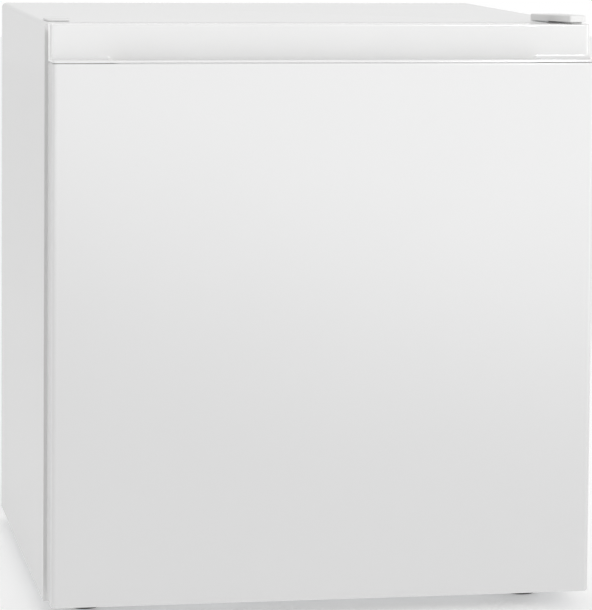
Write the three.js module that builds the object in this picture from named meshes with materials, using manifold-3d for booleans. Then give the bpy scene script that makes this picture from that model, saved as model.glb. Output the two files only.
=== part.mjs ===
// A small cube refrigerator: a foamed steel cabinet on four feet, a hinged door with a full-width
// grip ledge, an ice box with a flap, a sliding drip tray and shelf, lift-off door racks, and the
// compressor and condenser at the back.
//
// Millimetres. +X is the viewer's right, -Y the front, +Z up. The origin is on the floor, under the
// middle of the footprint.
import * as THREE from 'three';
import { mergeVertices } from 'three/addons/utils/BufferGeometryUtils.js';
import Module from 'manifold-3d';

const wasm = await Module();
wasm.setup();

// ------------------------------------------------------------------ driving sizes
// Outside
const CABINET_WIDTH = 445;
const CABINET_HEIGHT = 472;
const CABINET_DEPTH = 396;
const DOOR_DEPTH = 54;            // front of the door's panel to the cabinet's front, seal included
const REAR_DEPTH = 20;            // what stands behind the cabinet's back panel
const FOOT_HEIGHT = 12;

// Walls and gaps
const GAP = 0.3;                  // between pieces that touch
const SHEET = 0.8;                // steel sheet
const PLASTIC = 1.6;              // formed plastic liners
const WRAP_RADIUS = 4;            // bend of the cabinet's top edges
const SIDE_WALL = 38;
const TOP_WALL = 45;
const FLOOR_WALL = 45;
const BACK_WALL = 40;
const FRONT_FLANGE = 20;          // the wrap's edge, turned in behind the seal
const REAR_FLANGE = 12;
const FRONT_LIP = 38;             // the base pan's upturned front

// Compressor bay
const BAY_DEPTH = 149;
const BAY_HEIGHT = 148;
const BAY_WALL = 29;              // foam between the bay and the food space

// Door
const DOOR_INSET = 1;             // each side of the door is this much inside the cabinet's side
const DOOR_BOTTOM_CLEARANCE = 6;  // door's lower edge above the cabinet's lower edge
const DOOR_TOP_RISE = 0.4;        // door's top edge above the cabinet's top
const PANEL_RADIUS = 4;
const PANEL_SIDE = 36;            // depth of the steel panel's sides
const GRIP_HEIGHT = 30;           // height of the plastic grip trim above the panel
const GRIP_SETBACK = 19;          // the grip's face behind the panel's face
const LEDGE_THICKNESS = 2.1;
const TRIM_WALL = 2.5;
const POCKET_END = 54;            // finger pocket's end from the door's side
const POCKET_DROP = 16;           // pocket's floor below the ledge
const POCKET_LIP = 3.6;           // pocket's front edge behind the panel's face
const DOOR_BACK = 40;             // panel's face to the flat back of the door
const SEAL_GAP = 0.6;             // seal to the cabinet's front, so the door can swing
const SEAL_WIDTH = 16;
const SEAL_INSET_SIDE = 9.5;      // seal's outer edge from the cabinet's side
const SEAL_INSET_TOP = 10;
const SEAL_INSET_BOTTOM = 24;
const DYKE_DEPTH = 25;            // raised rim on the door's back, which enters the food space
const DYKE_WIDTH = 14;
const DYKE_CLEARANCE = 10.5;      // rim's outer edge from the food space's walls
const DOOR_POCKET = 6;            // door's middle stands this far behind its flat back

// Hinges
const PIN_RADIUS = 2.8;
const PIN_PLAY = 0.12;
const PIN_SIDE = 11.5;            // hinge axis from the door's side
const BUSH_CLEARANCE = 0.38;      // hinge bush behind the inside of the grip's face
const BUSH_WALL = 2.2;
const BUSH_LENGTH = 20;
const HINGE_PLATE = 2;
const HINGE_RISE = 2.7;           // the arm over the door is lifted this much
const COVER_HEIGHT = 5.6;
const COVER_TILT = 1.8;           // cover's front end stands this much higher than its back
const COVER_WALL = 1.2;
const COVER_MARGIN = 2;           // cover around the hinge plate
const HINGE_SEAT = 26;            // length of the hinge plate on the cabinet's top
const HINGE_FLARE = 19.5;         // plate's inner back corner from the hinge axis
const HINGE_ARM = 9.6;            // width of the arm over the door
const SCREW_RADIUS = 2;
const SCREW_PITCH = 8.7;
const SCREW_OFFSET = 1.7;         // outer screw outwards of the hinge axis
const SCREW_SETBACK = 5;          // screws in front of the plate's back edge

// Food space
const LEDGE_DEPTH = 8;
const LEDGE_HEIGHT = 6;
const SHELF_OVER_STEP = 15.2;     // shelf above the step over the compressor
const SPARE_LEDGE_RISE = 62;
const SHELF_SETBACK = 81;         // shelf's front edge behind the cabinet's front
const GLASS = 4;
const ICE_BOX_WIDTH = 270;
const ICE_BOX_HEIGHT = 84;
const ICE_BOX_DEPTH = 236;
const ICE_BOX_WALL = 1.6;
const ICE_BOX_DROP = 5;           // ice box below the ceiling
const ICE_BOX_SIDE = 12;          // ice box from the left wall
const FLAP_FRAME_DEPTH = 9;
const FLAP_FRAME_BORDER = 5;
const FLAP = 3;
const FLAP_PIN_RADIUS = 2;
const TRAY_DROP = 6;              // drip tray below the ice box
const TRAY_DEPTH = 22;
const TRAY_WALL = 1.8;

// Running gear
const POT_RADIUS = 66;
const POT_SQUASH = 0.85;
const POT_HEIGHT = 118;
const GROMMET_HEIGHT = 13;
const TUBE_RADIUS = 2.6;
const TUBE_PITCH = 28;
const TUBE_RUNS = 9;
const CONDENSER_WIDTH = 300;
const WIRE = 1.6;
const WIRE_COUNT = 13;

// ------------------------------------------------------------------ planes worked out from them
const halfWidth = CABINET_WIDTH / 2;
const doorFront = -(DOOR_DEPTH + CABINET_DEPTH + REAR_DEPTH) / 2;
const cabinetFront = doorFront + DOOR_DEPTH;
const cabinetBack = cabinetFront + CABINET_DEPTH;
const rear = cabinetBack + REAR_DEPTH;
const cabinetBottom = FOOT_HEIGHT;
const cabinetTop = FOOT_HEIGHT + CABINET_HEIGHT;

const foodHalf = halfWidth - SIDE_WALL;
const foodFloor = cabinetBottom + FLOOR_WALL;
const foodTop = cabinetTop - TOP_WALL;
const foodBack = cabinetBack - BACK_WALL;
const bayFront = cabinetBack - BAY_DEPTH;
const bayTop = cabinetBottom + BAY_HEIGHT;
const stepFront = bayFront - SHEET - BAY_WALL;
const stepTop = bayTop + SHEET + BAY_WALL;

const rearFlange = cabinetBack - 2 * SHEET - GAP;
const innerHalf = halfWidth - SHEET - GAP;
const lipTop = cabinetBottom + FRONT_LIP;

const doorHalf = halfWidth - DOOR_INSET;
const doorBottom = cabinetBottom + DOOR_BOTTOM_CLEARANCE;
const doorTop = cabinetTop + DOOR_TOP_RISE;
const panelTop = doorTop - GRIP_HEIGHT - GAP;
const hingeX = doorHalf - PIN_SIDE;
const bushRadius = PIN_RADIUS + PIN_PLAY + BUSH_WALL;
const hingeY = doorFront + GRIP_SETBACK + TRIM_WALL + BUSH_CLEARANCE + bushRadius;

// ------------------------------------------------------------------ shape helpers
/** A closed three.js geometry as a manifold solid. */
function solid(geometry) {
  const bare = geometry.clone();
  for (const name of Object.keys(bare.attributes)) {
    if (name !== 'position') bare.deleteAttribute(name);
  }
  const merged = mergeVertices(bare, 1e-4);
  const index = merged.index.array;
  const corners = [];
  for (let i = 0; i < index.length; i += 3) {
    const [a, b, c] = [index[i], index[i + 1], index[i + 2]];
    if (a !== b && b !== c && c !== a) corners.push(a, b, c);
  }
  return new wasm.Manifold(new wasm.Mesh({
    numProp: 3,
    vertProperties: new Float32Array(merged.attributes.position.array),
    triVerts: new Uint32Array(corners),
  }));
}

/** A manifold solid as a flat-shaded three.js geometry. */
function geometryOf(body) {
  const mesh = body.getMesh();
  const geometry = new THREE.BufferGeometry();
  geometry.setAttribute(
    'position', new THREE.BufferAttribute(new Float32Array(mesh.vertProperties), 3),
  );
  geometry.setIndex(new THREE.BufferAttribute(new Uint32Array(mesh.triVerts), 1));
  geometry.computeVertexNormals();
  return geometry;
}

/** Joins any number of overlapping solids. */
function join(...bodies) {
  return bodies.reduce((sum, body) => sum.add(body));
}

/** Cuts any number of solids from the first. */
function cut(body, ...tools) {
  return tools.reduce((rest, tool) => rest.subtract(tool), body);
}

/** A box between two limits on each axis. */
function block([x0, x1], [y0, y1], [z0, z1]) {
  const box = new THREE.BoxGeometry(x1 - x0, y1 - y0, z1 - z0);
  box.translate((x0 + x1) / 2, (y0 + y1) / 2, (z0 + z1) / 2);
  return solid(box);
}

/** Turns a geometry made along +Z so that it lies along another axis. */
function layAlong(axis, geometry) {
  const turn = new THREE.Matrix4();
  if (axis === 'x') {
    turn.makeBasis(new THREE.Vector3(0, 1, 0), new THREE.Vector3(0, 0, 1), new THREE.Vector3(1, 0, 0));
  }
  if (axis === 'y') {
    turn.makeBasis(new THREE.Vector3(1, 0, 0), new THREE.Vector3(0, 0, 1), new THREE.Vector3(0, -1, 0));
  }
  return geometry.applyMatrix4(turn);
}

/**
 * An outline pushed along an axis between two limits. Its own two axes are X and Y for a prism
 * along z, X and Z along y, and Y and Z along x.
 */
function prism(axis, outline, [from, to], curveSegments = 3) {
  const geometry = new THREE.ExtrudeGeometry(outline, {
    depth: to - from, bevelEnabled: false, curveSegments,
  });
  layAlong(axis, geometry);
  const start = { x: [from, 0, 0], y: [0, to, 0], z: [0, 0, from] }[axis];
  geometry.translate(...start);
  return solid(geometry);
}

/** A rectangle with rounded corners; radii go round from the low-low corner, anticlockwise. */
function rounded([u0, u1], [v0, v1], radii) {
  const [a, b, c, d] = Array.isArray(radii) ? radii : [radii, radii, radii, radii];
  const outline = new THREE.Shape();
  const corner = (u, v, radius, start) => {
    if (radius > 0) outline.absarc(u, v, radius, start, start + Math.PI / 2, false);
    else outline.lineTo(u, v);
  };
  outline.moveTo(u0 + a, v0);
  corner(u1 - b, v0 + b, b, -Math.PI / 2);
  corner(u1 - c, v1 - c, c, 0);
  corner(u0 + d, v1 - d, d, Math.PI / 2);
  corner(u0 + a, v0 + a, a, Math.PI);
  return outline;
}

/** A straight-sided outline through the given corners. */
function polygon(...corners) {
  return new THREE.Shape(corners.map(([u, v]) => new THREE.Vector2(u, v)));
}

/** A round bar along an axis; centre gives the other two coordinates, in X, Y, Z order. */
function bar(axis, [u, v], radius, [from, to], sides = 20) {
  const corners = [];
  for (let i = 0; i < sides; i += 1) {
    const turn = (2 * Math.PI * i) / sides;
    corners.push([u + radius * Math.cos(turn), v + radius * Math.sin(turn)]);
  }
  return prism(axis, polygon(...corners), [from, to]);
}

/** A profile of [radius, height] points turned about a vertical axis at x, y. */
function turned(profile, [x, y], sides = 20) {
  const points = profile.map(([radius, height]) => new THREE.Vector2(radius, height));
  const geometry = new THREE.LatheGeometry(points, sides);
  geometry.rotateX(Math.PI / 2);
  geometry.translate(x, y, 0);
  return solid(geometry);
}

/** A line of straight stretches joined by round bends, for a tube to follow. */
class PipePath extends THREE.Curve {
  constructor(corners, bend) {
    super();
    this.stations = [];
    this.directions = [];
    const points = corners.map((corner) => new THREE.Vector3(...corner));
    const direction = (i) => points[i + 1].clone().sub(points[i]).normalize();
    this.addStation(points[0], direction(0));
    for (let i = 1; i < points.length - 1; i += 1) this.addBend(
      points[i], direction(i - 1), direction(i), bend,
    );
    this.addStation(points[points.length - 1], direction(points.length - 2));
  }

  addStation(point, direction) {
    this.stations.push(point);
    this.directions.push(direction);
  }

  addBend(corner, along, away, bend) {
    const angle = along.angleTo(away);
    const side = away.clone().addScaledVector(along, -along.dot(away)).normalize();
    const start = corner.clone().addScaledVector(along, -bend * Math.tan(angle / 2));
    const steps = Math.max(2, Math.ceil(angle / (Math.PI / 6)));
    for (let i = 0; i <= steps; i += 1) {
      const turn = (angle * i) / steps;
      const point = start.clone()
        .addScaledVector(along, bend * Math.sin(turn))
        .addScaledVector(side, bend * (1 - Math.cos(turn)));
      const heading = along.clone().multiplyScalar(Math.cos(turn)).addScaledVector(
        side, Math.sin(turn),
      );
      this.addStation(point, heading);
    }
  }

  get steps() {
    return this.stations.length - 1;
  }

  getPoint(t, target = new THREE.Vector3()) {
    const place = t * this.steps;
    const i = Math.min(Math.floor(place + 1e-9), this.steps - 1);
    return target.lerpVectors(this.stations[i], this.stations[i + 1], place - i);
  }

  getTangent(t, target = new THREE.Vector3()) {
    return target.copy(this.directions[Math.round(t * this.steps)]);
  }

  getUtoTmapping(u) {
    return u;
  }
}

/** A round tube, modelled solid, through the given corners. */
function pipe(corners, radius, bend, sides = 8) {
  const path = new PipePath(corners, bend);
  const section = [];
  for (let i = 0; i < sides; i += 1) {
    const turn = (2 * Math.PI * i) / sides;
    section.push([radius * Math.cos(turn), radius * Math.sin(turn)]);
  }
  return solid(
    new THREE.ExtrudeGeometry(polygon(...section), { steps: path.steps, extrudePath: path }),
  );
}

// ------------------------------------------------------------------ materials
function finish(color, roughness, metalness = 0) {
  return new THREE.MeshStandardMaterial({ color, roughness, metalness });
}

const whitePaint = finish(0xe6e6e4, 0.42, 0.1);
const doorPaint = finish(0xdcdcda, 0.38, 0.25);
const glossWhite = finish(0xeeeeec, 0.18);
const whitePlastic = finish(0xe9e9e6, 0.45);
const linerPlastic = finish(0xf0f0ee, 0.4);
const clearPlastic = finish(0xdfe6e8, 0.2);
const glass = finish(0xcfdedb, 0.08);
const foamMaterial = finish(0xe6d8a8, 0.95);
const sealRubber = finish(0xd9d9d6, 0.7);
const blackRubber = finish(0x1b1b1c, 0.85);
const blackPlastic = finish(0x222223, 0.55);
const blackPaint = finish(0x161617, 0.5, 0.4);
const zincSteel = finish(0xb7b9bb, 0.4, 0.9);
const aluminium = finish(0xc5c8ca, 0.35, 0.9);
const copper = finish(0xb0683f, 0.35, 0.9);

const fridge = new THREE.Group();

/** Adds one named piece to the refrigerator. */
function piece(name, body, material) {
  const mesh = new THREE.Mesh(geometryOf(body), material);
  mesh.name = name;
  fridge.add(mesh);
}

// ------------------------------------------------------------------ cabinet shell
// Where screws and pegs pass through the cabinet's top: on the hinge side and, unused, on the other.
const seat = [cabinetFront + 6, cabinetFront + 6 + HINGE_SEAT];
const screwLine = seat[1] - SCREW_SETBACK;
const screwSpots = [hingeX + SCREW_OFFSET - SCREW_PITCH, hingeX + SCREW_OFFSET];
const SCREW_LENGTH = 12;
const screwDepth = [cabinetTop - SCREW_LENGTH - GAP, cabinetTop + HINGE_PLATE + 1];
const screwHoles = (side) => screwSpots.map(
  (x) => bar('z', [side * x, screwLine], SCREW_RADIUS + GAP, screwDepth, 12),
);
const topHoles = [...screwHoles(1), ...screwHoles(-1)];

const FOOT_INSET_X = 37;
const FRONT_FOOT_INSET = 31;      // front feet behind the cabinet's front
const REAR_FOOT_INSET = 25;
const STUD_RADIUS = 4;
const STUD_LENGTH = 26;
const footX = halfWidth - FOOT_INSET_X;
const frontFootY = cabinetFront + FRONT_FOOT_INSET;
const rearFootY = cabinetBack - REAR_FOOT_INSET;
const STUD_TOP = 8 + STUD_LENGTH;
const studHoles = [-1, 1].map(
  (side) => bar(
    'z', [side * footX, frontFootY], STUD_RADIUS + 0.6, [cabinetBottom - 1, STUD_TOP + 2], 16,
  ),
);

/** The cabinet's outline, or a smaller one inside it, open or closed at the bottom. */
function cabinetOutline(inset, bottom) {
  const radius = Math.max(WRAP_RADIUS - inset, 0);
  return rounded(
    [-halfWidth + inset, halfWidth - inset], [bottom, cabinetTop - inset], [0, 0, radius, radius],
  );
}

function outerWrap() {
  const below = cabinetBottom - 5;
  return cut(
    prism('y', cabinetOutline(0, cabinetBottom), [cabinetFront, cabinetBack]),
    prism('y', cabinetOutline(SHEET, below), [cabinetFront + SHEET, rearFlange]),
    prism('y', cabinetOutline(SHEET, below), [rearFlange + SHEET, cabinetBack + 1]),
    prism('y', cabinetOutline(FRONT_FLANGE, below), [cabinetFront - 1, cabinetFront + 2 * SHEET]),
    prism('y', cabinetOutline(REAR_FLANGE, below), [rearFlange - SHEET, rearFlange + 2 * SHEET]),
    ...topHoles,
  );
}

function basePan() {
  const lipHalf = halfWidth - FRONT_FLANGE - GAP;
  const floor = [cabinetBottom, cabinetBottom + SHEET];
  return cut(
    join(
      block([-lipHalf, lipHalf], [cabinetFront, bayFront - SHEET - GAP], floor),
      block([-innerHalf, innerHalf], [cabinetFront + SHEET + GAP, bayFront - SHEET - GAP], floor),
      block([-lipHalf, lipHalf], [cabinetFront, cabinetFront + SHEET], [cabinetBottom, lipTop]),
    ),
    ...studHoles,
  );
}

function bayPanel() {
  const back = rearFlange - GAP;
  const profile = polygon(
    [bayFront - SHEET, cabinetBottom], [bayFront, cabinetBottom], [bayFront, bayTop],
    [back, bayTop], [back, bayTop + SHEET], [bayFront - SHEET, bayTop + SHEET],
  );
  return prism('x', profile, [-innerHalf, innerHalf]);
}

function backPanel() {
  const outline = rounded(
    [-innerHalf, innerHalf], [bayTop, cabinetTop - SHEET - GAP], [0, 0, WRAP_RADIUS, WRAP_RADIUS],
  );
  const plate = prism('y', outline, [cabinetBack - SHEET, cabinetBack]);
  // two shallow pressed beads stiffen the sheet
  const bead = (z) => block(
    [-innerHalf + 25, innerHalf - 25], [cabinetBack - SHEET / 2, cabinetBack + 1.2], [z, z + 8],
  );
  return join(plate, bead(cabinetTop - 20), bead(bayTop + 6));
}

/** The food space, grown outwards by a margin: a tall part and a shallower foot in front of the step. */
function foodSpace(margin, front) {
  const radius = 12 + margin;
  const side = [-foodHalf - margin, foodHalf + margin];
  return join(
    prism(
      'y', rounded(side, [foodFloor - margin, foodTop + margin], radius), [front, stepFront + margin],
    ),
    prism('y', rounded(side, [stepTop - margin, foodTop + margin], radius), [front, foodBack + margin]),
  );
}

const shelfLevel = stepTop + SHELF_OVER_STEP;
const ledgeFront = cabinetFront + SHELF_SETBACK - 12;

function innerLiner() {
  const flange = prism(
    'y',
    rounded(
      [-halfWidth + FRONT_FLANGE + GAP, halfWidth - FRONT_FLANGE - GAP],
      [lipTop + GAP, cabinetTop - FRONT_FLANGE - GAP],
      0,
    ),
    [cabinetFront, cabinetFront + PLASTIC],
  );
  const shell = cut(join(foodSpace(PLASTIC, cabinetFront), flange), foodSpace(0, cabinetFront - 1));
  const ledges = [];
  for (const side of [-1, 1]) {
    const reach = [
      side * (foodHalf - LEDGE_DEPTH), side * (foodHalf + PLASTIC / 2),
    ].sort((a, b) => a - b);
    for (const level of [shelfLevel - GAP, shelfLevel - GAP + SPARE_LEDGE_RISE]) {
      ledges.push(block(reach, [ledgeFront, foodBack + PLASTIC / 2], [level - LEDGE_HEIGHT, level]));
    }
  }
  return join(shell, ...ledges);
}

function insulation() {
  const radius = WRAP_RADIUS - SHEET - GAP;
  const fill = prism(
    'y',
    rounded(
      [-innerHalf, innerHalf],
      [cabinetBottom + SHEET + GAP, cabinetTop - SHEET - GAP],
      [0, 0, radius, radius],
    ),
    [cabinetFront + PLASTIC + GAP, rearFlange - GAP],
  );
  const bay = block(
    [-halfWidth, halfWidth],
    [bayFront - SHEET - GAP, cabinetBack],
    [cabinetBottom - 1, bayTop + SHEET + GAP],
  );
  return cut(fill, foodSpace(PLASTIC + GAP, cabinetFront), bay, ...topHoles, ...studHoles);
}

piece('outer_wrap', outerWrap(), whitePaint);
piece('base_pan', basePan(), zincSteel);
piece('compressor_bay_panel', bayPanel(), zincSteel);
piece('back_panel', backPanel(), zincSteel);
piece('inner_liner', innerLiner(), linerPlastic);
piece('insulation_foam', insulation(), foamMaterial);

// ------------------------------------------------------------------ feet
function frontFoot(x) {
  return turned(
    [
      [0, 0], [13, 0], [15, 2], [15, 6], [9, 8], [9, 11.5],
      [STUD_RADIUS, 11.5], [STUD_RADIUS, STUD_TOP], [0, STUD_TOP],
    ],
    [x, frontFootY],
  );
}

function rearFoot(x) {
  const top = cabinetBottom - GAP;
  return turned([[0, 0], [12, 0], [13.5, 1.5], [15, top], [0, top]], [x, rearFootY]);
}

piece('front_foot_left', frontFoot(-footX), blackPlastic);
piece('front_foot_right', frontFoot(footX), blackPlastic);
piece('rear_foot_left', rearFoot(-footX), blackRubber);
piece('rear_foot_right', rearFoot(footX), blackRubber);

// ------------------------------------------------------------------ top hinge
const pinBore = (PIN_RADIUS + PIN_PLAY) / Math.cos(Math.PI / 20);
const armHalf = HINGE_ARM / 2;
const armBottom = cabinetTop + GAP + HINGE_RISE;

/** Plan of the hinge: straight outside, and flared inwards from the nose over the pin to its seat. */
function hingePlan(margin, nose) {
  const outline = new THREE.Shape();
  const half = armHalf + margin;
  const tip = hingeY - nose;
  const round = Math.min(half * 0.7, 5);
  outline.moveTo(hingeX - HINGE_FLARE - margin, seat[1] + margin);
  outline.lineTo(hingeX - half, tip + round);
  outline.absarc(hingeX - half + round, tip + round, round, Math.PI, 1.5 * Math.PI, false);
  outline.absarc(hingeX + half - round, tip + round, round, 1.5 * Math.PI, 2 * Math.PI, false);
  outline.lineTo(hingeX + half, seat[1] + margin);
  return outline;
}

function topHingePlate() {
  const low = cabinetTop + GAP;
  const bendBack = seat[0];
  const bendFront = seat[0] - 8;
  const profile = polygon(
    [seat[1], low], [seat[1], low + HINGE_PLATE], [bendBack, low + HINGE_PLATE],
    [bendFront, armBottom + HINGE_PLATE], [hingeY - 20, armBottom + HINGE_PLATE],
    [hingeY - 20, armBottom], [bendFront, armBottom], [bendBack, low],
  );
  const strip = prism('x', profile, [hingeX - 30, hingeX + 30]);
  const plan = prism('z', hingePlan(0, 6), [low - 5, low + 20]);
  return cut(strip.intersect(plan), ...screwHoles(1));
}

function topHingePin() {
  return bar('z', [hingeX, hingeY], PIN_RADIUS, [doorTop - BUSH_LENGTH + 2, armBottom - GAP]);
}

const coverBottom = cabinetTop + GAP + 0.1;

function topHingeCover() {
  const back = seat[1] + COVER_MARGIN;
  const front = hingeY - 12;
  const tilt = COVER_TILT / (back - front);
  // the cover's top and its lower rim both climb towards the front
  const slab = (low, high, inset) => prism('x', polygon(
    [back + 5, low - tilt * 5], [back + 5, high - tilt * 5],
    [front - 5, high + tilt * (back - front + 5)], [front - 5, low + tilt * (back - front + 5)],
  ), [hingeX - 30 + inset, hingeX + 30 - inset]);
  const outside = slab(coverBottom, coverBottom + COVER_HEIGHT, 0)
    .intersect(prism('z', hingePlan(COVER_MARGIN, 12), [coverBottom - 5, coverBottom + 30]));
  const inside = slab(coverBottom - 5, coverBottom + COVER_HEIGHT - COVER_WALL, 0)
    .intersect(
      prism(
        'z',
        hingePlan(COVER_MARGIN - COVER_WALL, 12 - COVER_WALL),
        [coverBottom - 20, coverBottom + 30],
      ),
    );
  return cut(outside, inside);
}

/** A pan-head screw standing on a face at a given height. */
function screwDown([x, y], face) {
  return turned(
    [[0, face - SCREW_LENGTH], [SCREW_RADIUS, face - SCREW_LENGTH + 2], [SCREW_RADIUS, face],
      [3.5, face], [3.5, face + 1], [2.4, face + 1.9], [0, face + 1.9]],
    [x, y],
    12,
  );
}

piece('top_hinge_plate', topHingePlate(), zincSteel);
piece('top_hinge_pin', topHingePin(), zincSteel);
piece('top_hinge_cover', topHingeCover(), whitePlastic);
screwSpots.forEach((x, i) => {
  piece(
    `top_hinge_screw_${i + 1}`,
    screwDown([x, screwLine], cabinetTop + 2 * GAP + HINGE_PLATE),
    zincSteel,
  );
});

/** The cap that closes the unused hinge holes on the other side. */
function hingeHoleCap() {
  const low = cabinetTop + GAP;
  const around = SCREW_RADIUS + 1.5;
  const wide = [-screwSpots[1] - 2 * around, -screwSpots[0] + around];
  const plate = prism('z', rounded(wide, [screwLine - around, screwLine + 28], 2), [low, low + 1.5]);
  const pegs = screwSpots.map((x) => bar('z', [-x, screwLine], SCREW_RADIUS, [low - 8, low + 1], 12));
  return join(plate, ...pegs);
}

piece('hinge_hole_cap', hingeHoleCap(), whitePlastic);

// ------------------------------------------------------------------ bottom hinge
const bracketTop = doorBottom - 1.6;
const bracketLow = bracketTop - HINGE_PLATE;
const bracketFace = cabinetFront - GAP - HINGE_PLATE;
const bracketX = [hingeX - 30, hingeX + 10];
const bottomScrews = [hingeX - 22, hingeX - 2];
const bottomScrewZ = (bracketTop + lipTop) / 2 - 8;

function bottomHingeBracket() {
  const low = bracketLow;
  const legTop = cabinetBottom + SEAL_INSET_BOTTOM - 2;
  const arm = prism(
    'z',
    rounded([hingeX - 8, hingeX + 8], [hingeY - 8, cabinetFront - GAP], [7, 7, 0, 0]),
    [low, bracketTop],
  );
  const foot = block(bracketX, [bracketFace - 8, cabinetFront - GAP], [low, bracketTop]);
  const leg = block(bracketX, [bracketFace, cabinetFront - GAP], [low, legTop]);
  const holes = bottomScrews.map(
    (x) => bar('y', [x, bottomScrewZ], SCREW_RADIUS + GAP, [bracketFace - 1, cabinetFront + 1], 12),
  );
  return cut(join(arm, foot, leg), ...holes);
}

/** A pan-head screw driven back into the cabinet's front. */
function screwIn([x, z]) {
  const head = 1.9;
  const end = head + HINGE_PLATE + GAP - 0.2;
  const screw = turned(
    [[0, 0], [2.8, 0], [4, 0.9], [4, head], [SCREW_RADIUS, head], [SCREW_RADIUS, end], [0, end]],
    [0, 0],
    12,
  );
  return screw.rotate([-90, 0, 0]).translate([x, bracketFace - GAP - 1.9, z]);
}

piece('bottom_hinge_bracket', bottomHingeBracket(), zincSteel);
piece(
  'bottom_hinge_pin',
  bar('z', [hingeX, hingeY], PIN_RADIUS, [bracketTop + GAP, doorBottom + BUSH_LENGTH - 3]),
  zincSteel,
);
bottomScrews.forEach(
  (x, i) => piece(`bottom_hinge_screw_${i + 1}`, screwIn([x, bottomScrewZ]), zincSteel),
);

// ------------------------------------------------------------------ door
const at = (depth) => doorFront + depth;   // a depth behind the door panel's face
const doorZ = [doorBottom, doorTop];
const FLANGE_WIDTH = 10;                   // the panel's top edge, turned in under the grip trim
const capTop = doorBottom + TRIM_WALL;

function doorPanel() {
  const plan = (inset, back) => rounded(
    [-doorHalf + inset, doorHalf - inset],
    [doorFront + inset, back],
    [PANEL_RADIUS - inset, PANEL_RADIUS - inset, 0, 0],
  );
  return cut(
    prism('z', plan(0, at(PANEL_SIDE)), [doorBottom, panelTop], 4),
    prism('z', plan(SHEET, at(PANEL_SIDE + 5)), [doorBottom - 1, panelTop - SHEET], 4),
    block([-doorHalf + FLANGE_WIDTH, doorHalf - FLANGE_WIDTH], [at(SHEET), at(PANEL_SIDE + 1)],
      [panelTop - 2 * SHEET, panelTop + 1]),
  );
}

/** The hollow inside the grip trim, shrunk by a margin. */
function trimHollow(margin) {
  return block(
    [-doorHalf + TRIM_WALL + margin, doorHalf - TRIM_WALL - margin],
    [at(GRIP_SETBACK + TRIM_WALL + margin), at(PANEL_SIDE - TRIM_WALL - margin)],
    [panelTop + GAP - 1, doorTop - TRIM_WALL - margin],
  );
}

const ledgeTop = panelTop + GAP + LEDGE_THICKNESS;
const pocketFront = at(POCKET_LIP);

/** The finger pocket that drops below the ledge, grown by a wall. */
function fingerPocket(wall, top) {
  return block(
    [-doorHalf + POCKET_END - wall, doorHalf - POCKET_END + wall],
    [Math.max(pocketFront - wall, at(SHEET + GAP + 0.3)), at(GRIP_SETBACK) + wall],
    [ledgeTop - POCKET_DROP - wall, top],
  );
}

function doorTopTrim() {
  const low = panelTop + GAP;
  const ledgePlan = rounded(
    [-doorHalf, doorHalf], [at(0.3), at(PANEL_SIDE)], [PANEL_RADIUS, PANEL_RADIUS, 0, 0],
  );
  const bandPlan = rounded([-doorHalf, doorHalf], [at(GRIP_SETBACK), at(PANEL_SIDE)], [3, 3, 0, 0]);
  const ledge = prism('z', ledgePlan, [low, ledgeTop], 4);
  // the band's upper front edge is rounded along its whole length
  const bandProfile = rounded([at(GRIP_SETBACK), at(PANEL_SIDE)], [low, doorTop], [0, 0, 0, 3]);
  const band = prism('z', bandPlan, [low, doorTop], 3).intersect(
    prism('x', bandProfile, [-doorHalf - 1, doorHalf + 1]),
  );
  // a fillet where the ledge meets the band
  const fillet = new THREE.Shape();
  fillet.moveTo(at(GRIP_SETBACK + 1), ledgeTop - 1);
  fillet.lineTo(at(GRIP_SETBACK + 1), ledgeTop + 3);
  fillet.lineTo(at(GRIP_SETBACK), ledgeTop + 3);
  fillet.absarc(at(GRIP_SETBACK - 3), ledgeTop + 3, 3, 0, -Math.PI / 2, true);
  fillet.lineTo(at(GRIP_SETBACK - 3), ledgeTop - 1);
  const corner = prism('x', fillet, [-doorHalf + 3, doorHalf - 3]);
  const bushHole = bar('z', [hingeX, hingeY], bushRadius + GAP, [doorTop - TRIM_WALL - 1, doorTop + 1]);
  const shell = cut(join(ledge, band, corner), trimHollow(0), bushHole);
  return cut(join(shell, fingerPocket(TRIM_WALL, ledgeTop)), fingerPocket(0, doorTop));
}

function doorBottomCap() {
  const half = doorHalf - SHEET - GAP;
  const depth = [at(SHEET + GAP), at(PANEL_SIDE)];
  const plan = rounded([-half, half], depth, [PANEL_RADIUS - SHEET, PANEL_RADIUS - SHEET, 0, 0]);
  const hollow = rounded(
    [-half + TRIM_WALL, half - TRIM_WALL], [depth[0] + TRIM_WALL, depth[1] - TRIM_WALL], 0,
  );
  const bushHole = bar(
    'z', [hingeX, hingeY], bushRadius + GAP, [doorBottom - 1, doorBottom + TRIM_WALL + 1],
  );
  return cut(
    prism('z', plan, [doorBottom, doorBottom + 12]),
    prism('z', hollow, [capTop, doorBottom + 13]),
    bushHole,
  );
}

const dykeHalf = foodHalf - DYKE_CLEARANCE;
const dykeZ = [foodFloor + DYKE_CLEARANCE - 1.5, foodTop - DYKE_CLEARANCE + 1.5];
const pocketHalf = dykeHalf - DYKE_WIDTH;
const pocketZ = [dykeZ[0] + DYKE_WIDTH, dykeZ[1] - DYKE_WIDTH];
const RIM = 3.4;                           // depth of the liner's turned edge behind the panel's side

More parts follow.
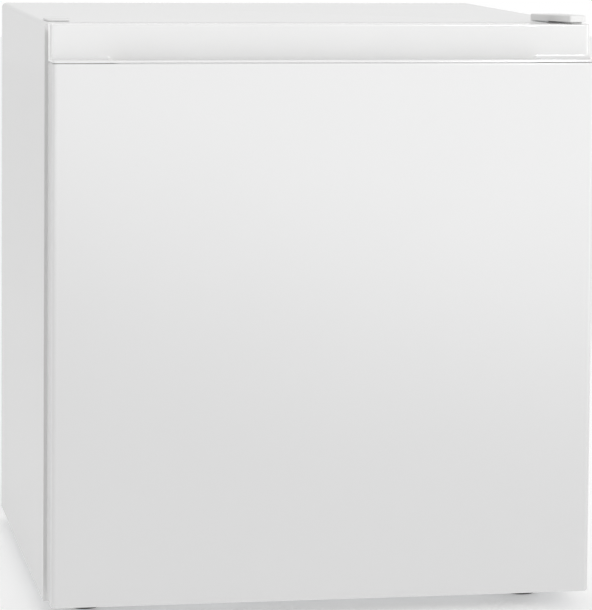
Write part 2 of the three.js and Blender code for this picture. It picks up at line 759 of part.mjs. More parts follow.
/** The raised rim on the door's back, with its middle pocket, grown or shrunk by a margin. */
function dyke(margin, front) {
  const outside = prism(
    'y',
    rounded(
      [-dykeHalf - margin, dykeHalf + margin], [dykeZ[0] - margin, dykeZ[1] + margin], 10 + margin,
    ),
    [front, at(DOOR_BACK + DYKE_DEPTH + margin)],
  );
  const pocket = prism(
    'y',
    rounded(
      [-pocketHalf + margin, pocketHalf - margin],
      [pocketZ[0] + margin, pocketZ[1] - margin],
      6 - margin,
    ),
    [at(DOOR_BACK + DOOR_POCKET + margin), at(DOOR_BACK + DYKE_DEPTH + 5)],
  );
  return cut(outside, pocket);
}

const RACK_WALL = 2.2;
const RACK_END = 7;
const PEG = { reach: 4.5, width: 8, height: 10, rise: 14 };
const racks = [
  { name: 'lower_rack', z: dykeZ[0] + DYKE_WIDTH + 4, height: 66, depth: 84 },
  { name: 'upper_rack', z: dykeZ[0] + DYKE_WIDTH + 170, height: 40, depth: 55 },
];
const pegY = [at(DOOR_BACK + DOOR_POCKET + 5), at(DOOR_BACK + DOOR_POCKET + 5 + PEG.width)];

function rackPegs() {
  return racks.flatMap(({ z }) => [-1, 1].map((side) => {
    const reach = [
      side * (pocketHalf - PEG.reach), side * (pocketHalf + PLASTIC / 2),
    ].sort((a, b) => a - b);
    return block(reach, pegY, [z + PEG.rise, z + PEG.rise + PEG.height]);
  }));
}

function doorLiner() {
  const half = doorHalf - 1;
  const z = [doorBottom + 0.5, doorTop - 0.5];
  const plate = prism('y', rounded([-half, half], z, 3), [at(DOOR_BACK - RIM), at(DOOR_BACK)]);
  const inside = prism(
    'y',
    rounded([-half + PLASTIC, half - PLASTIC], [z[0] + PLASTIC, z[1] - PLASTIC], 1.5),
    [at(DOOR_BACK - RIM - 1), at(DOOR_BACK - PLASTIC)],
  );
  const shell = cut(
    join(plate, dyke(0, at(DOOR_BACK - RIM / 2))), inside, dyke(-PLASTIC, at(DOOR_BACK - RIM)),
  );
  return join(shell, ...rackPegs());
}

function doorFoam() {
  const half = doorHalf - SHEET - GAP;
  const rimHalf = doorHalf - 1 - PLASTIC - GAP;
  const behind = at(DOOR_BACK - PLASTIC - GAP);
  const main = block(
    [-half, half], [at(SHEET + GAP), at(PANEL_SIDE)], [doorBottom + 12 + GAP, panelTop - SHEET - GAP],
  );
  const back = block(
    [-rimHalf, rimHalf], [at(PANEL_SIDE - 4), behind], [doorBottom + 12 + GAP, panelTop - SHEET - GAP],
  );
  const neck = block(
    [-doorHalf + FLANGE_WIDTH + GAP, doorHalf - FLANGE_WIDTH - GAP],
    [at(GRIP_SETBACK + TRIM_WALL + GAP), at(PANEL_SIDE - TRIM_WALL - GAP)],
    [panelTop - 5, panelTop + 3],
  );
  const upper = cut(
    trimHollow(GAP), block([-halfWidth, halfWidth], [at(0), at(60)], [0, panelTop + GAP]),
  );
  const hollowEdges = rounded(
    [-half, half], [at(SHEET + GAP), at(DOOR_DEPTH)], [PANEL_RADIUS, PANEL_RADIUS, 0, 0],
  );
  const body = join(main, back, neck, upper, dyke(-PLASTIC - GAP, at(DOOR_BACK - PLASTIC - GAP - 2)));
  const bushes = [
    bar('z', [hingeX, hingeY], bushRadius + GAP, [doorTop - BUSH_LENGTH - GAP, doorTop + 1]),
    bar('z', [hingeX, hingeY], bushRadius + GAP, [doorBottom - 1, doorBottom + BUSH_LENGTH + GAP]),
  ];
  const pocket = join(
    fingerPocket(TRIM_WALL + GAP, panelTop),
    block(
      [-doorHalf + POCKET_END - 3, doorHalf - POCKET_END + 3],
      [at(0), at(GRIP_SETBACK + TRIM_WALL + GAP)],
      [panelTop - 5, panelTop + 10],
    ),
  );
  return cut(body.intersect(prism('z', hollowEdges, [doorBottom, doorTop])), pocket, ...bushes);
}

/** One rectangular ring of the seal, of a given width about its middle line. */
function sealRing(width, depths) {
  const middle = SEAL_WIDTH / 2;
  const u = halfWidth - SEAL_INSET_SIDE - middle;
  const v = [cabinetBottom + SEAL_INSET_BOTTOM + middle, cabinetTop - SEAL_INSET_TOP - middle];
  const grow = width / 2;
  const outer = rounded([-u - grow, u + grow], [v[0] - grow, v[1] + grow], 3);
  const inner = rounded([-u + grow, u - grow], [v[0] + grow, v[1] - grow], 2);
  return cut(prism('y', outer, depths), prism('y', inner, [depths[0] - 1, depths[1] + 1]));
}

function doorGasket() {
  const base = at(DOOR_BACK + GAP);
  const face = cabinetFront - SEAL_GAP;
  return join(
    sealRing(SEAL_WIDTH, [base, base + 3]),
    sealRing(SEAL_WIDTH - 6, [base + 2, face - 3]),
    sealRing(SEAL_WIDTH - 1, [face - 4, face]),
  );
}

/** A flanged sleeve for a hinge pin; the flange is outside the door. */
function hingeBush(face, direction) {
  const flange = 0.9;
  const from = face + direction * GAP;
  const inner = face - direction * BUSH_LENGTH;
  const order = (a, b) => [Math.min(a, b), Math.max(a, b)];
  const sleeve = bar('z', [hingeX, hingeY], bushRadius, order(inner, from));
  const collar = bar('z', [hingeX, hingeY], bushRadius + 1.4, order(from, from + direction * flange));
  const bore = bar(
    'z', [hingeX, hingeY], pinBore, order(inner - direction, from + direction * (flange + 1)),
  );
  return cut(join(sleeve, collar), bore);
}

/** A door rack: a tray that hangs on pegs and lifts off upwards. */
function doorRack({ z, height, depth }) {
  const half = pocketHalf - 0.4;
  const front = at(DOOR_BACK + DOOR_POCKET) + 0.4;
  const back = front + depth;
  const outside = prism('z', rounded([-half, half], [front, back], [0, 0, 14, 14]), [z, z + height]);
  const inside = prism(
    'z',
    rounded([-half + RACK_END, half - RACK_END], [front + RACK_WALL, back - RACK_WALL], [0, 0, 8, 8]),
    [z + RACK_WALL, z + height + 1],
  );
  const lowWall = block(
    [-half + RACK_END, half - RACK_END], [front - 1, front + RACK_WALL + 1], [z + 12, z + height + 1],
  );
  const slots = [-1, 1].map((side) => {
    const reach = [side * (pocketHalf - PEG.reach - 0.6), side * (half + 1)].sort((a, b) => a - b);
    return block(reach, [pegY[0] - 0.5, pegY[1] + 0.5], [z - 1, z + PEG.rise + PEG.height + GAP]);
  });
  return cut(outside, inside, lowWall, ...slots);
}

piece('door_panel', doorPanel(), doorPaint);
piece('door_top_trim', doorTopTrim(), glossWhite);
piece('door_bottom_cap', doorBottomCap(), whitePlastic);
piece('door_foam', doorFoam(), foamMaterial);
piece('door_liner', doorLiner(), linerPlastic);
piece('door_gasket', doorGasket(), sealRubber);
piece('door_bush_top', hingeBush(doorZ[1], 1), whitePlastic);
piece('door_bush_bottom', hingeBush(doorZ[0], -1), whitePlastic);
for (const rack of racks) piece(rack.name, doorRack(rack), clearPlastic);

// ------------------------------------------------------------------ ice box
const iceX = [-foodHalf + ICE_BOX_SIDE, -foodHalf + ICE_BOX_SIDE + ICE_BOX_WIDTH];
const iceZ = [foodTop - ICE_BOX_DROP - ICE_BOX_HEIGHT, foodTop - ICE_BOX_DROP];
const iceY = [foodBack - 15 - ICE_BOX_DEPTH, foodBack - 15];

function grown([low, high], margin) {
  return [low - margin, high + margin];
}

function iceBox() {
  return cut(
    prism('y', rounded(iceX, iceZ, 6), iceY),
    prism(
      'y',
      rounded(grown(iceX, -ICE_BOX_WALL), grown(iceZ, -ICE_BOX_WALL), 4.4),
      [iceY[0] - 1, iceY[1] - ICE_BOX_WALL],
    ),
  );
}

function iceBoxHanger() {
  return block(grown(iceX, -40), [iceY[0] + 25, iceY[1] - 25], [iceZ[1] + GAP, foodTop - GAP]);
}

const frameY = [iceY[0] - GAP - FLAP_FRAME_DEPTH, iceY[0] - GAP];
const flapX = grown(iceX, -2);
const flapZ = [iceZ[0] + 4, iceZ[1] - 3.5];
const flapY = [frameY[0] + 2, frameY[0] + 2 + FLAP];
const flapAxis = { y: (flapY[0] + flapY[1]) / 2, z: flapZ[1] - 2.5 };

function flapFrame() {
  const hole = rounded(grown(flapX, 1), [flapZ[0] - 1, flapAxis.z + 4], 1.5);
  const sockets = [flapX[0] - 4, flapX[1] + 1.5].map(
    (x) => bar('x', [flapAxis.y, flapAxis.z], FLAP_PIN_RADIUS + 0.3, [x - 1.5, x + 4], 12),
  );
  const frameOutline = rounded(
    grown(iceX, FLAP_FRAME_BORDER), [iceZ[0] - FLAP_FRAME_BORDER, foodTop - 1], 4,
  );
  return cut(
    prism('y', frameOutline, frameY), prism('y', hole, [frameY[0] - 1, frameY[1] + 1]), ...sockets,
  );
}

function freezerFlap() {
  const plate = prism('y', rounded(flapX, flapZ, [2, 2, 1, 1]), flapY);
  const pins = bar('x', [flapAxis.y, flapAxis.z], FLAP_PIN_RADIUS - 0.6, grown(flapX, 3), 10);
  const middle = (flapX[0] + flapX[1]) / 2;
  const tab = block(
    [middle - 30, middle + 30], [flapY[0] - 4.5, flapY[0] + 1], [flapZ[0] + 3, flapZ[0] + 6],
  );
  return join(plate, pins, tab);
}

piece('ice_box', iceBox(), aluminium);
piece('ice_box_hanger', iceBoxHanger(), whitePlastic);
piece('flap_frame', flapFrame(), whitePlastic);
piece('freezer_flap', freezerFlap(), clearPlastic);

// ------------------------------------------------------------------ drip tray on its rails
const trayTop = iceZ[0] - TRAY_DROP;
const trayX = grown(iceX, -8);
const trayY = [iceY[0] - 2, iceY[1] - 20];
const RAIL_THICKNESS = 2;

/** An L-shaped rail that hangs from the ice box and carries one edge of the tray. */
function trayRail(side) {
  const wall = side < 0 ? iceX[0] : iceX[1];
  const x = (a, b) => [wall - side * a, wall - side * b].sort((p, q) => p - q);
  const y = [iceY[0] + 4, iceY[1] - 12];
  const low = trayTop - 6;
  return join(
    block(x(0, RAIL_THICKNESS), y, [low - RAIL_THICKNESS, iceZ[0] - GAP]),
    block(x(0, 7), y, [low - RAIL_THICKNESS, low]),
  );
}

function dripTray() {
  const low = trayTop - TRAY_DEPTH;
  const body = cut(
    prism('z', rounded(trayX, trayY, 6), [low, trayTop - 2]),
    prism(
      'z', rounded(grown(trayX, -TRAY_WALL), grown(trayY, -TRAY_WALL), 4.4), [low + TRAY_WALL, trayTop],
    ),
  );
  const lip = (side) => {
    const edge = side < 0 ? trayX[0] : trayX[1];
    const x = [edge + side * 5, edge - side * TRAY_WALL].sort((p, q) => p - q);
    return block(x, [trayY[0] + 8, trayY[1] - 8], [trayTop - 6 + GAP, trayTop - 3.7]);
  };
  const pull = block(
    [(trayX[0] + trayX[1]) / 2 - 40, (trayX[0] + trayX[1]) / 2 + 40],
    [trayY[0] - 5, trayY[0] + 1],
    [trayTop - 5, trayTop - 2],
  );
  return join(body, lip(-1), lip(1), pull);
}

piece('tray_rail_left', trayRail(-1), whitePlastic);
piece('tray_rail_right', trayRail(1), whitePlastic);
piece('drip_tray', dripTray(), clearPlastic);

// ------------------------------------------------------------------ glass shelf
const shelfFront = cabinetFront + SHELF_SETBACK;
const shelfBack = foodBack - 7;
const trimHalf = foodHalf - LEDGE_DEPTH - 1;
const glassZ = [shelfLevel + GAP, shelfLevel + GAP + GLASS];

/** An edge strip that wraps one edge of the glass. */
function shelfTrim(y, height, slot) {
  return cut(
    prism('x', rounded(y, [shelfLevel - 2, height], 1), [-trimHalf, trimHalf]),
    block([-halfWidth, halfWidth], slot, grown(glassZ, GAP)),
  );
}

piece(
  'shelf_glass', block([-foodHalf + 2, foodHalf - 2], [shelfFront + 3, shelfBack - 3], glassZ), glass,
);
piece(
  'shelf_front_trim',
  shelfTrim([shelfFront, shelfFront + 12], shelfLevel + 7, [shelfFront + 3 - GAP, shelfFront + 20]),
  whitePlastic,
);
piece(
  'shelf_rear_trim',
  shelfTrim([shelfBack - 10, shelfBack], shelfLevel + 18, [shelfBack - 20, shelfBack - 3 + GAP]),
  whitePlastic,
);

// ------------------------------------------------------------------ thermostat
const statX = [iceX[1] + 11, foodHalf - 3];
const statZ = [foodTop - 66, foodTop - GAP];
const statY = [iceY[0] + 6, iceY[0] + 136];
const knobCentre = [(statX[0] + statX[1]) / 2, (statZ[0] + statZ[1]) / 2];
const KNOB_RADIUS = 18;
const KNOB_DEPTH = 17;

function thermostatHousing() {
  return cut(
    prism('y', rounded(statX, statZ, [8, 8, 10, 0]), statY),
    prism('y', rounded(grown(statX, -2), [statZ[0] + 2, statZ[1] + 5], [6, 6, 0, 0]), grown(statY, -2)),
  );
}

function thermostatKnob() {
  const [x, z] = knobCentre;
  const face = statY[0] - GAP;
  const disc = bar('y', [x, z], KNOB_RADIUS, [face - 5, face], 28);
  const grip = prism(
    'y',
    rounded([x - 4, x + 4], [z - KNOB_RADIUS + 2, z + KNOB_RADIUS - 1], 3),
    [face - KNOB_DEPTH, face - 4],
  );
  return join(disc, grip);
}

function thermostatBulb() {
  const [x, z] = knobCentre;
  const side = iceX[1] + GAP + 2;
  return pipe(
    [
      [x - 12, statY[1] + GAP, z],
      [x - 12, statY[1] + 25, z],
      [side, statY[1] + 45, z],
      [side, iceY[1] - 10, z],
    ],
    1.8,
    8,
  );
}

piece('thermostat_housing', thermostatHousing(), whitePlastic);
piece('thermostat_knob', thermostatKnob(), glossWhite);
piece('thermostat_bulb', thermostatBulb(), copper);

// ------------------------------------------------------------------ compressor and its plate
const PLATE = 1.6;
const potX = 60;
const potY = cabinetBack - 75;
const plateTop = cabinetBottom + PLATE;
const earZ = [plateTop + GAP + 6, plateTop + GAP + 8.6];
const potBottom = earZ[0];
const earSpots = [[-52, -44], [52, -44], [-52, 44], [52, 44]].map(([x, y]) => [potX + x, potY + y]);
const GLAND_X = -footX + 10;

function compressorPlate() {
  const y = [bayFront + GAP, rearFlange - GAP];
  const sheet = block([-innerHalf, innerHalf], y, [cabinetBottom, plateTop]);
  const lip = block([-innerHalf, innerHalf], [y[1] - PLATE, y[1]], [cabinetBottom, cabinetBottom + 12]);
  const glandTab = block(
    [GLAND_X - 16, GLAND_X + 16], [y[1] - PLATE, y[1]], [cabinetBottom, cabinetBottom + 44],
  );
  const glandHole = bar('y', [GLAND_X, cabinetBottom + 28], 7, [y[1] - 5, y[1] + 5], 16);
  const studs = earSpots.map(
    (spot) => bar('z', spot, 3, [cabinetBottom + 0.5, plateTop + GROMMET_HEIGHT + 4], 12),
  );
  return cut(join(sheet, lip, glandTab, ...studs), glandHole);
}

/** A rubber bush with a waist that an ear of the compressor sits in. */
function grommet(spot) {
  const low = plateTop + GAP;
  const top = plateTop + GROMMET_HEIGHT;
  const waist = [earZ[0] - GAP, earZ[1] + GAP];
  return turned(
    [
      [3.4, low],
      [10, low],
      [10, waist[0]],
      [6, waist[0]],
      [6, waist[1]],
      [9, waist[1]],
      [8, top],
      [3.4, top],
      [3.4, low],
    ],
    spot,
    16,
  );
}

function compressor() {
  const height = POT_HEIGHT;
  const middle = potBottom + height * 0.5;
  const profile = [
    [0, potBottom + 1], [40, potBottom + 1], [58, potBottom + 9], [POT_RADIUS - 2, potBottom + 26],
    [POT_RADIUS - 1, middle - 4], [POT_RADIUS + 3, middle - 3], [POT_RADIUS + 3, middle + 3],
    [POT_RADIUS - 2, middle + 4], [POT_RADIUS - 4, potBottom + height - 30],
    [
      POT_RADIUS - 14, potBottom + height - 12,
    ], [POT_RADIUS - 34, potBottom + height - 3], [0, potBottom + height],
  ];
  const pot = turned(profile, [0, 0], 28).scale([1, POT_SQUASH, 1]).translate([potX, potY, 0]);
  const base = prism('z', rounded([potX - 62, potX + 62], [potY - 54, potY + 54], 10), earZ);
  const holes = earSpots.map((spot) => bar('z', spot, 6.5, [earZ[0] - 1, earZ[1] + 1], 16));
  return join(cut(base, ...holes), pot);
}

function relayCover() {
  const x = [potX + POT_RADIUS + 3.6, potX + POT_RADIUS + 38];
  return prism('z', rounded(x, [potY - 22, potY + 22], 5), [potBottom + 34, potBottom + 86]);
}

function cordGland() {
  const y = rearFlange - GAP;
  const z = cabinetBottom + 28;
  const body = bar('y', [GLAND_X, z], 6.4, [y - PLATE - 9, y + 9], 16);
  const collar = bar('y', [GLAND_X, z], 10, [y + GAP, y + 5], 16);
  const bore = bar('y', [GLAND_X, z], 3.6, [y - 30, y + 30], 12);
  return cut(join(body, collar), bore);
}

piece('compressor_plate', compressorPlate(), zincSteel);
piece('compressor', compressor(), blackPaint);
earSpots.forEach((spot, i) => piece(`compressor_grommet_${i + 1}`, grommet(spot), blackRubber));
piece('relay_cover', relayCover(), blackPlastic);
piece('cord_gland', cordGland(), blackPlastic);

// ------------------------------------------------------------------ condenser and pipes
const coilY = cabinetBack + 9;
const coilTop = cabinetTop - 42;
const coilBottom = coilTop - (TUBE_RUNS - 1) * TUBE_PITCH;
const runHalf = CONDENSER_WIDTH / 2;
const inletX = runHalf + 18;
const tailZ = bayTop + 4;
const drierTop = tailZ - 6;
const drierX = -runHalf + 30;

/** The centre line of the coil: up one side, across and back down the panel, then to the drier. */
function coilCorners() {
  const corners = [[inletX, coilY, tailZ], [inletX, coilY, coilTop]];
  for (let run = 0; run < TUBE_RUNS; run += 1) {
    const z = coilTop - run * TUBE_PITCH;
    const goesLeft = run % 2 === 0;
    const end = run === TUBE_RUNS - 1 ? drierX : (goesLeft ? -runHalf : runHalf);
    if (run > 0) corners.push([goesLeft ? runHalf : -runHalf, coilY, z]);
    corners.push([end, coilY, z]);
  }
  corners.push([drierX, coilY, drierTop + GAP]);
  return corners;
}

function condenser() {
  const wires = [];
  for (let i = 0; i < WIRE_COUNT; i += 1) {
    const x = -runHalf + 16 + (i * (CONDENSER_WIDTH - 32)) / (WIRE_COUNT - 1);
    const y = coilY + TUBE_RADIUS - 0.4;
    wires.push(block([x - WIRE / 2, x + WIRE / 2], [y, y + WIRE], [coilBottom - 8, coilTop + 8]));
  }
  return join(pipe(coilCorners(), TUBE_RADIUS, TUBE_PITCH / 2 - 0.5), ...wires);
}

/** A stand-off that grips one run of the coil and keeps the back clear of a wall. */
function standOff(x, z) {
  const y = [cabinetBack + GAP, rear];
  const body = prism('z', rounded([x - 9, x + 9], y, [0, 0, 4, 4]), [z - 7, z + 7]);
  const slot = bar('x', [coilY, z], TUBE_RADIUS + GAP, [x - 20, x + 20], 12);
  const relief = block(
    [x - 20, x + 20],
    [coilY, coilY + TUBE_RADIUS + GAP],
    [z - TUBE_RADIUS - GAP, z + TUBE_RADIUS + GAP],
  );
  return cut(body, slot, relief);
}

const wireGap = (CONDENSER_WIDTH - 32) / (WIRE_COUNT - 1);
const standOffX = runHalf - 16 - wireGap / 2;

function filterDrier() {
  const length = 66;
  const low = drierTop - length;
  return turned(
    [
      [0, low],
      [1.8, low],
      [1.8, low + 3],
      [7.5, low + 8],
      [7.5, drierTop - 8],
      [3, drierTop - 3],
      [3, drierTop],
      [0, drierTop],
    ],
    [drierX, coilY],
    14,
  );
}

function capillaryTube() {
  const low = drierTop - 66;
  return pipe(
    [[drierX, coilY, low - GAP], [drierX, coilY, low - 10], [drierX - 20, coilY - 22, low - 10],
      [drierX - 20, coilY - 22, bayTop - GAP]],
    1.1,
    6,
    6,
  );
}

/** How far behind the compressor's axis its shell reaches at a given x. */
function potReach(x) {
  const share = (x - potX) / (POT_RADIUS + 3);
  return POT_SQUASH * (POT_RADIUS + 3) * Math.sqrt(1 - share * share);
}

function dischargePipe() {
  const x = potX + 30;
  const z = potBottom + 92;
  return pipe(
    [[x, potY + potReach(x) + 1, z], [x, coilY, z], [inletX, coilY, z], [inletX, coilY, tailZ - GAP]],
    TUBE_RADIUS,
    6,
  );
}

function suctionPipe() {
  const x = potX - 30;
  const z = potBottom + 76;
  return pipe(
    [[x, potY + potReach(x) + 1, z], [x, coilY, z], [x - 40, coilY, z], [x - 40, coilY, bayTop + 14],
      [x - 40, cabinetBack + 1.2 + GAP, bayTop + 14]],
    3.2,
    5,
  );
}

piece('condenser', condenser(), blackPaint);
const standOffRows = [coilTop, coilBottom + TUBE_PITCH];
standOffRows.flatMap((z) => [[-1, z], [1, z]]).forEach(([side, z], i) => {
  piece(`condenser_stand_off_${i + 1}`, standOff(side * standOffX, z), blackPlastic);
});
piece('filter_drier', filterDrier(), copper);
piece('capillary_tube', capillaryTube(), copper);
piece('discharge_pipe', dischargePipe(), copper);
piece('suction_pipe', suctionPipe(), copper);

export default fridge;
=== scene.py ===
# %% [markdown]
# # A small cube refrigerator, built as a lesson
#
# The engineering model already holds every piece at its true size, and its moving groups. Here each
# surface that shows gets its real shape and finish: rolled sheet edges, the scooped grip, the
# bellows of the seal, the turned shell of the compressor, and paint, plastic and metal that break
# up the light as the real ones do.
#
# Everything is in metres. +Z is up, -Y is the front, and +X is the side with the hinges.

# %% Load the frame
import math

import bmesh
import bpy
import numpy as np
from mathutils import Matrix, Vector


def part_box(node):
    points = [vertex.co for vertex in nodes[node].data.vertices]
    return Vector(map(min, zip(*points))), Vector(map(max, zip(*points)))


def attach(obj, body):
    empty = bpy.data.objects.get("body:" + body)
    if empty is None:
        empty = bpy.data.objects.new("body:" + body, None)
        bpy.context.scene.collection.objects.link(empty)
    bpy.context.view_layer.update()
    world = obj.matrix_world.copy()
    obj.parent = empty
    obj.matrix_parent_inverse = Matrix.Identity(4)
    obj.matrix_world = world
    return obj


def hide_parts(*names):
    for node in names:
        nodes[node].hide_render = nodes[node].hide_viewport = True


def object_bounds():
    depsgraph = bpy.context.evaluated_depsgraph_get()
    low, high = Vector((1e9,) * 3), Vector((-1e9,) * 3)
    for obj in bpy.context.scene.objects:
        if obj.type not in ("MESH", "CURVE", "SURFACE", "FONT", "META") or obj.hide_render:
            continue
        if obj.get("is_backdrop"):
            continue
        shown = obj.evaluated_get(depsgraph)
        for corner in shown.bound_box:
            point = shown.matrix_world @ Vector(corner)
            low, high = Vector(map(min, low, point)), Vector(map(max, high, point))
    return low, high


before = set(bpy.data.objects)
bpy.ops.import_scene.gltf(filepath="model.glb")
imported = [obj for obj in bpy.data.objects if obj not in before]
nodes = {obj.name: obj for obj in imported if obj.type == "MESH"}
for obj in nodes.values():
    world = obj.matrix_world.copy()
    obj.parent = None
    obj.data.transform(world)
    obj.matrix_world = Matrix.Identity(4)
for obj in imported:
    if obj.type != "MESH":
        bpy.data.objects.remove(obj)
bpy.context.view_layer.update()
MM = 0.001


def span(node, axis):
    """The lowest and highest value of a node along one axis: 0 is x, 1 is y, 2 is z."""
    low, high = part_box(node)
    return low[axis], high[axis]


def middle(node):
    """The middle of a node's box, as three numbers."""
    low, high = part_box(node)
    return tuple((low + high) / 2)


# %% [markdown]
# ## The camera
#
# A long lens, far away, a little to the left of the object and just above it: the left side and the
# top show as narrow bands. The camera looks down by only four degrees, and the lens is shifted down
# for the rest, as a photographer does to keep a tall box's upright edges parallel.

# %% Camera
camera_data = bpy.data.cameras.new("camera")
camera = bpy.data.objects.new("camera", camera_data)
bpy.context.scene.collection.objects.link(camera)
bpy.context.scene.camera = camera

FRAME_TALL = 610
SENSOR = 36.0
YAW, PITCH, ROLL = 0.1795, 0.0706, 0.0083
forward = Vector((math.sin(YAW), math.cos(YAW), 0))
right = Vector((math.cos(YAW), -math.sin(YAW), 0))
up = Vector((0, 0, 1))
look = forward * math.cos(PITCH) - up * math.sin(PITCH)
rise = up * math.cos(PITCH) + forward * math.sin(PITCH)
side = right * math.cos(ROLL) + rise * math.sin(ROLL)
rise = rise * math.cos(ROLL) - right * math.sin(ROLL)
camera.matrix_world = Matrix.LocRotScale(
    Vector((-0.4770, -2.7190, 0.6031)),
    Matrix((side, rise, -look)).transposed().to_quaternion(),
    None,
)
camera_data.sensor_width = SENSOR
camera_data.lens = 3162 / FRAME_TALL * SENSOR
camera_data.shift_y = -0.336
camera_data.clip_end = 50
print("lens, mm:", round(camera_data.lens, 1))

# %% [markdown]
# ## Light and floor
#
# White goods are shown in a white room, on a floor that glows softly like a light table, so that
# hardly any shadow is left. A wide spotlight with a soft rim brightens the upper right of the door:
# its rim crosses the door as a slow diagonal step. Two narrow upright panels in front draw the
# thin bright lines down the door's rolled edges, and one overhead sets the tone of the top.

# %% Room, floor and lights
scene = bpy.context.scene
scene.view_settings.view_transform = "Standard"

room = bpy.data.worlds.new("white_room")
room.use_nodes = True
scene.world = room
room_nodes, room_links = room.node_tree.nodes, room.node_tree.links
room_nodes.clear()
ROOM_LIGHT = 0.56
FLOOR_GLOW = 0.30
seen = room_nodes.new("ShaderNodeBackground")
seen.inputs["Color"].default_value = (1, 1, 1, 1)
seen.inputs["Strength"].default_value = 1.0
lighting = room_nodes.new("ShaderNodeBackground")
lighting.inputs["Color"].default_value = (1, 1, 1, 1)
lighting.inputs["Strength"].default_value = ROOM_LIGHT
ray = room_nodes.new("ShaderNodeLightPath")
bright = room_nodes.new("ShaderNodeMath")
bright.operation = "MAXIMUM"
room_links.new(ray.outputs["Is Camera Ray"], bright.inputs[0])
room_links.new(ray.outputs["Is Glossy Ray"], bright.inputs[1])
either = room_nodes.new("ShaderNodeMixShader")
room_output = room_nodes.new("ShaderNodeOutputWorld")
room_links.new(bright.outputs[0], either.inputs["Fac"])
room_links.new(lighting.outputs[0], either.inputs[1])
room_links.new(seen.outputs[0], either.inputs[2])
room_links.new(either.outputs[0], room_output.inputs["Surface"])


def soft_panel(name, place, aim, size, watts):
    """A rectangular soft light that faces a point."""
    data = bpy.data.lights.new(name, "AREA")
    data.shape = "RECTANGLE"
    data.size, data.size_y = size
    data.energy = watts
    lamp = bpy.data.objects.new(name, data)
    scene.collection.objects.link(lamp)
    lamp.location = place
    lamp.rotation_euler = (Vector(aim) - Vector(place)).to_track_quat("-Z", "Y").to_euler()
    return lamp


def soft_spot(name, place, aim, degrees, blend, watts):
    """A spotlight whose cone fades out over its outer part."""
    data = bpy.data.lights.new(name, "SPOT")
    data.spot_size = math.radians(degrees)
    data.spot_blend = blend
    data.shadow_soft_size = 0.12
    data.energy = watts
    lamp = bpy.data.objects.new(name, data)
    scene.collection.objects.link(lamp)
    lamp.location = place
    lamp.rotation_euler = (Vector(aim) - Vector(place)).to_track_quat("-Z", "Y").to_euler()
    return lamp


soft_panel("left_strip", (-2.4, -2.9, 0.9), (0, -0.2, 0.25), (0.25, 1.8), 6)
soft_panel("right_strip", (2.6, -2.7, 0.9), (0, -0.2, 0.25), (0.25, 1.8), 18)
soft_panel("overhead", (-0.05, 0.1, 1.5), (-0.05, 0.1, 0.3), (0.9, 0.9), 2.2)
soft_spot("diagonal", (1.3, -4.2, 2.2), (0.45, -0.235, 1.69), 40, 0.23, 190)

floor_mesh = bpy.data.meshes.new("floor")
FLOOR_HALF = 9
floor_mesh.from_pydata(
    [(-FLOOR_HALF, -FLOOR_HALF, 0), (FLOOR_HALF, -FLOOR_HALF, 0),
     (FLOOR_HALF, FLOOR_HALF, 0), (-FLOOR_HALF, FLOOR_HALF, 0)],
    [], [(0, 1, 2, 3)])
floor = bpy.data.objects.new("floor", floor_mesh)
scene.collection.objects.link(floor)
floor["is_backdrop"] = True

# %% [markdown]
# ## Writing shader maths as sums
#
# A finish is a short recipe: a base colour, how rough it is, and fine relief. `Term` wraps a
# number that changes over the surface, so that `0.4 + 0.1 * grain` adds its own Math nodes.
# `Finish.node` makes any other node, with its settings first and its sockets after.

# %% Terms and finishes
class Term:
    """A number that varies over a surface; arithmetic on it adds Math nodes."""

    def __init__(self, finish, socket):
        self.finish = finish
        self.socket = socket

    def _math(self, operation, first, second):
        return self.finish.node("ShaderNodeMath", {"operation": operation}, {0: first, 1: second})

    def __add__(self, other):
        return self._math("ADD", self, other)

    def __radd__(self, other):
        return self._math("ADD", other, self)

    def __sub__(self, other):
        return self._math("SUBTRACT", self, other)

    def __rsub__(self, other):
        return self._math("SUBTRACT", other, self)

    def __mul__(self, other):
        return self._math("MULTIPLY", self, other)

    def __rmul__(self, other):
        return self._math("MULTIPLY", other, self)

    def __truediv__(self, other):
        return self._math("DIVIDE", self, other)

    def __gt__(self, other):
        return self._math("GREATER_THAN", self, other)

    def __pow__(self, other):
        return self._math("POWER", self, other)

    def band(self, low, high):
        """0 below low, 1 above high, and a soft step between."""
        return self.finish.node(
            "ShaderNodeMapRange", {"interpolation_type": "SMOOTHSTEP", "clamp": True},
            {"Value": self, "From Min": low, "From Max": high}, "Result")


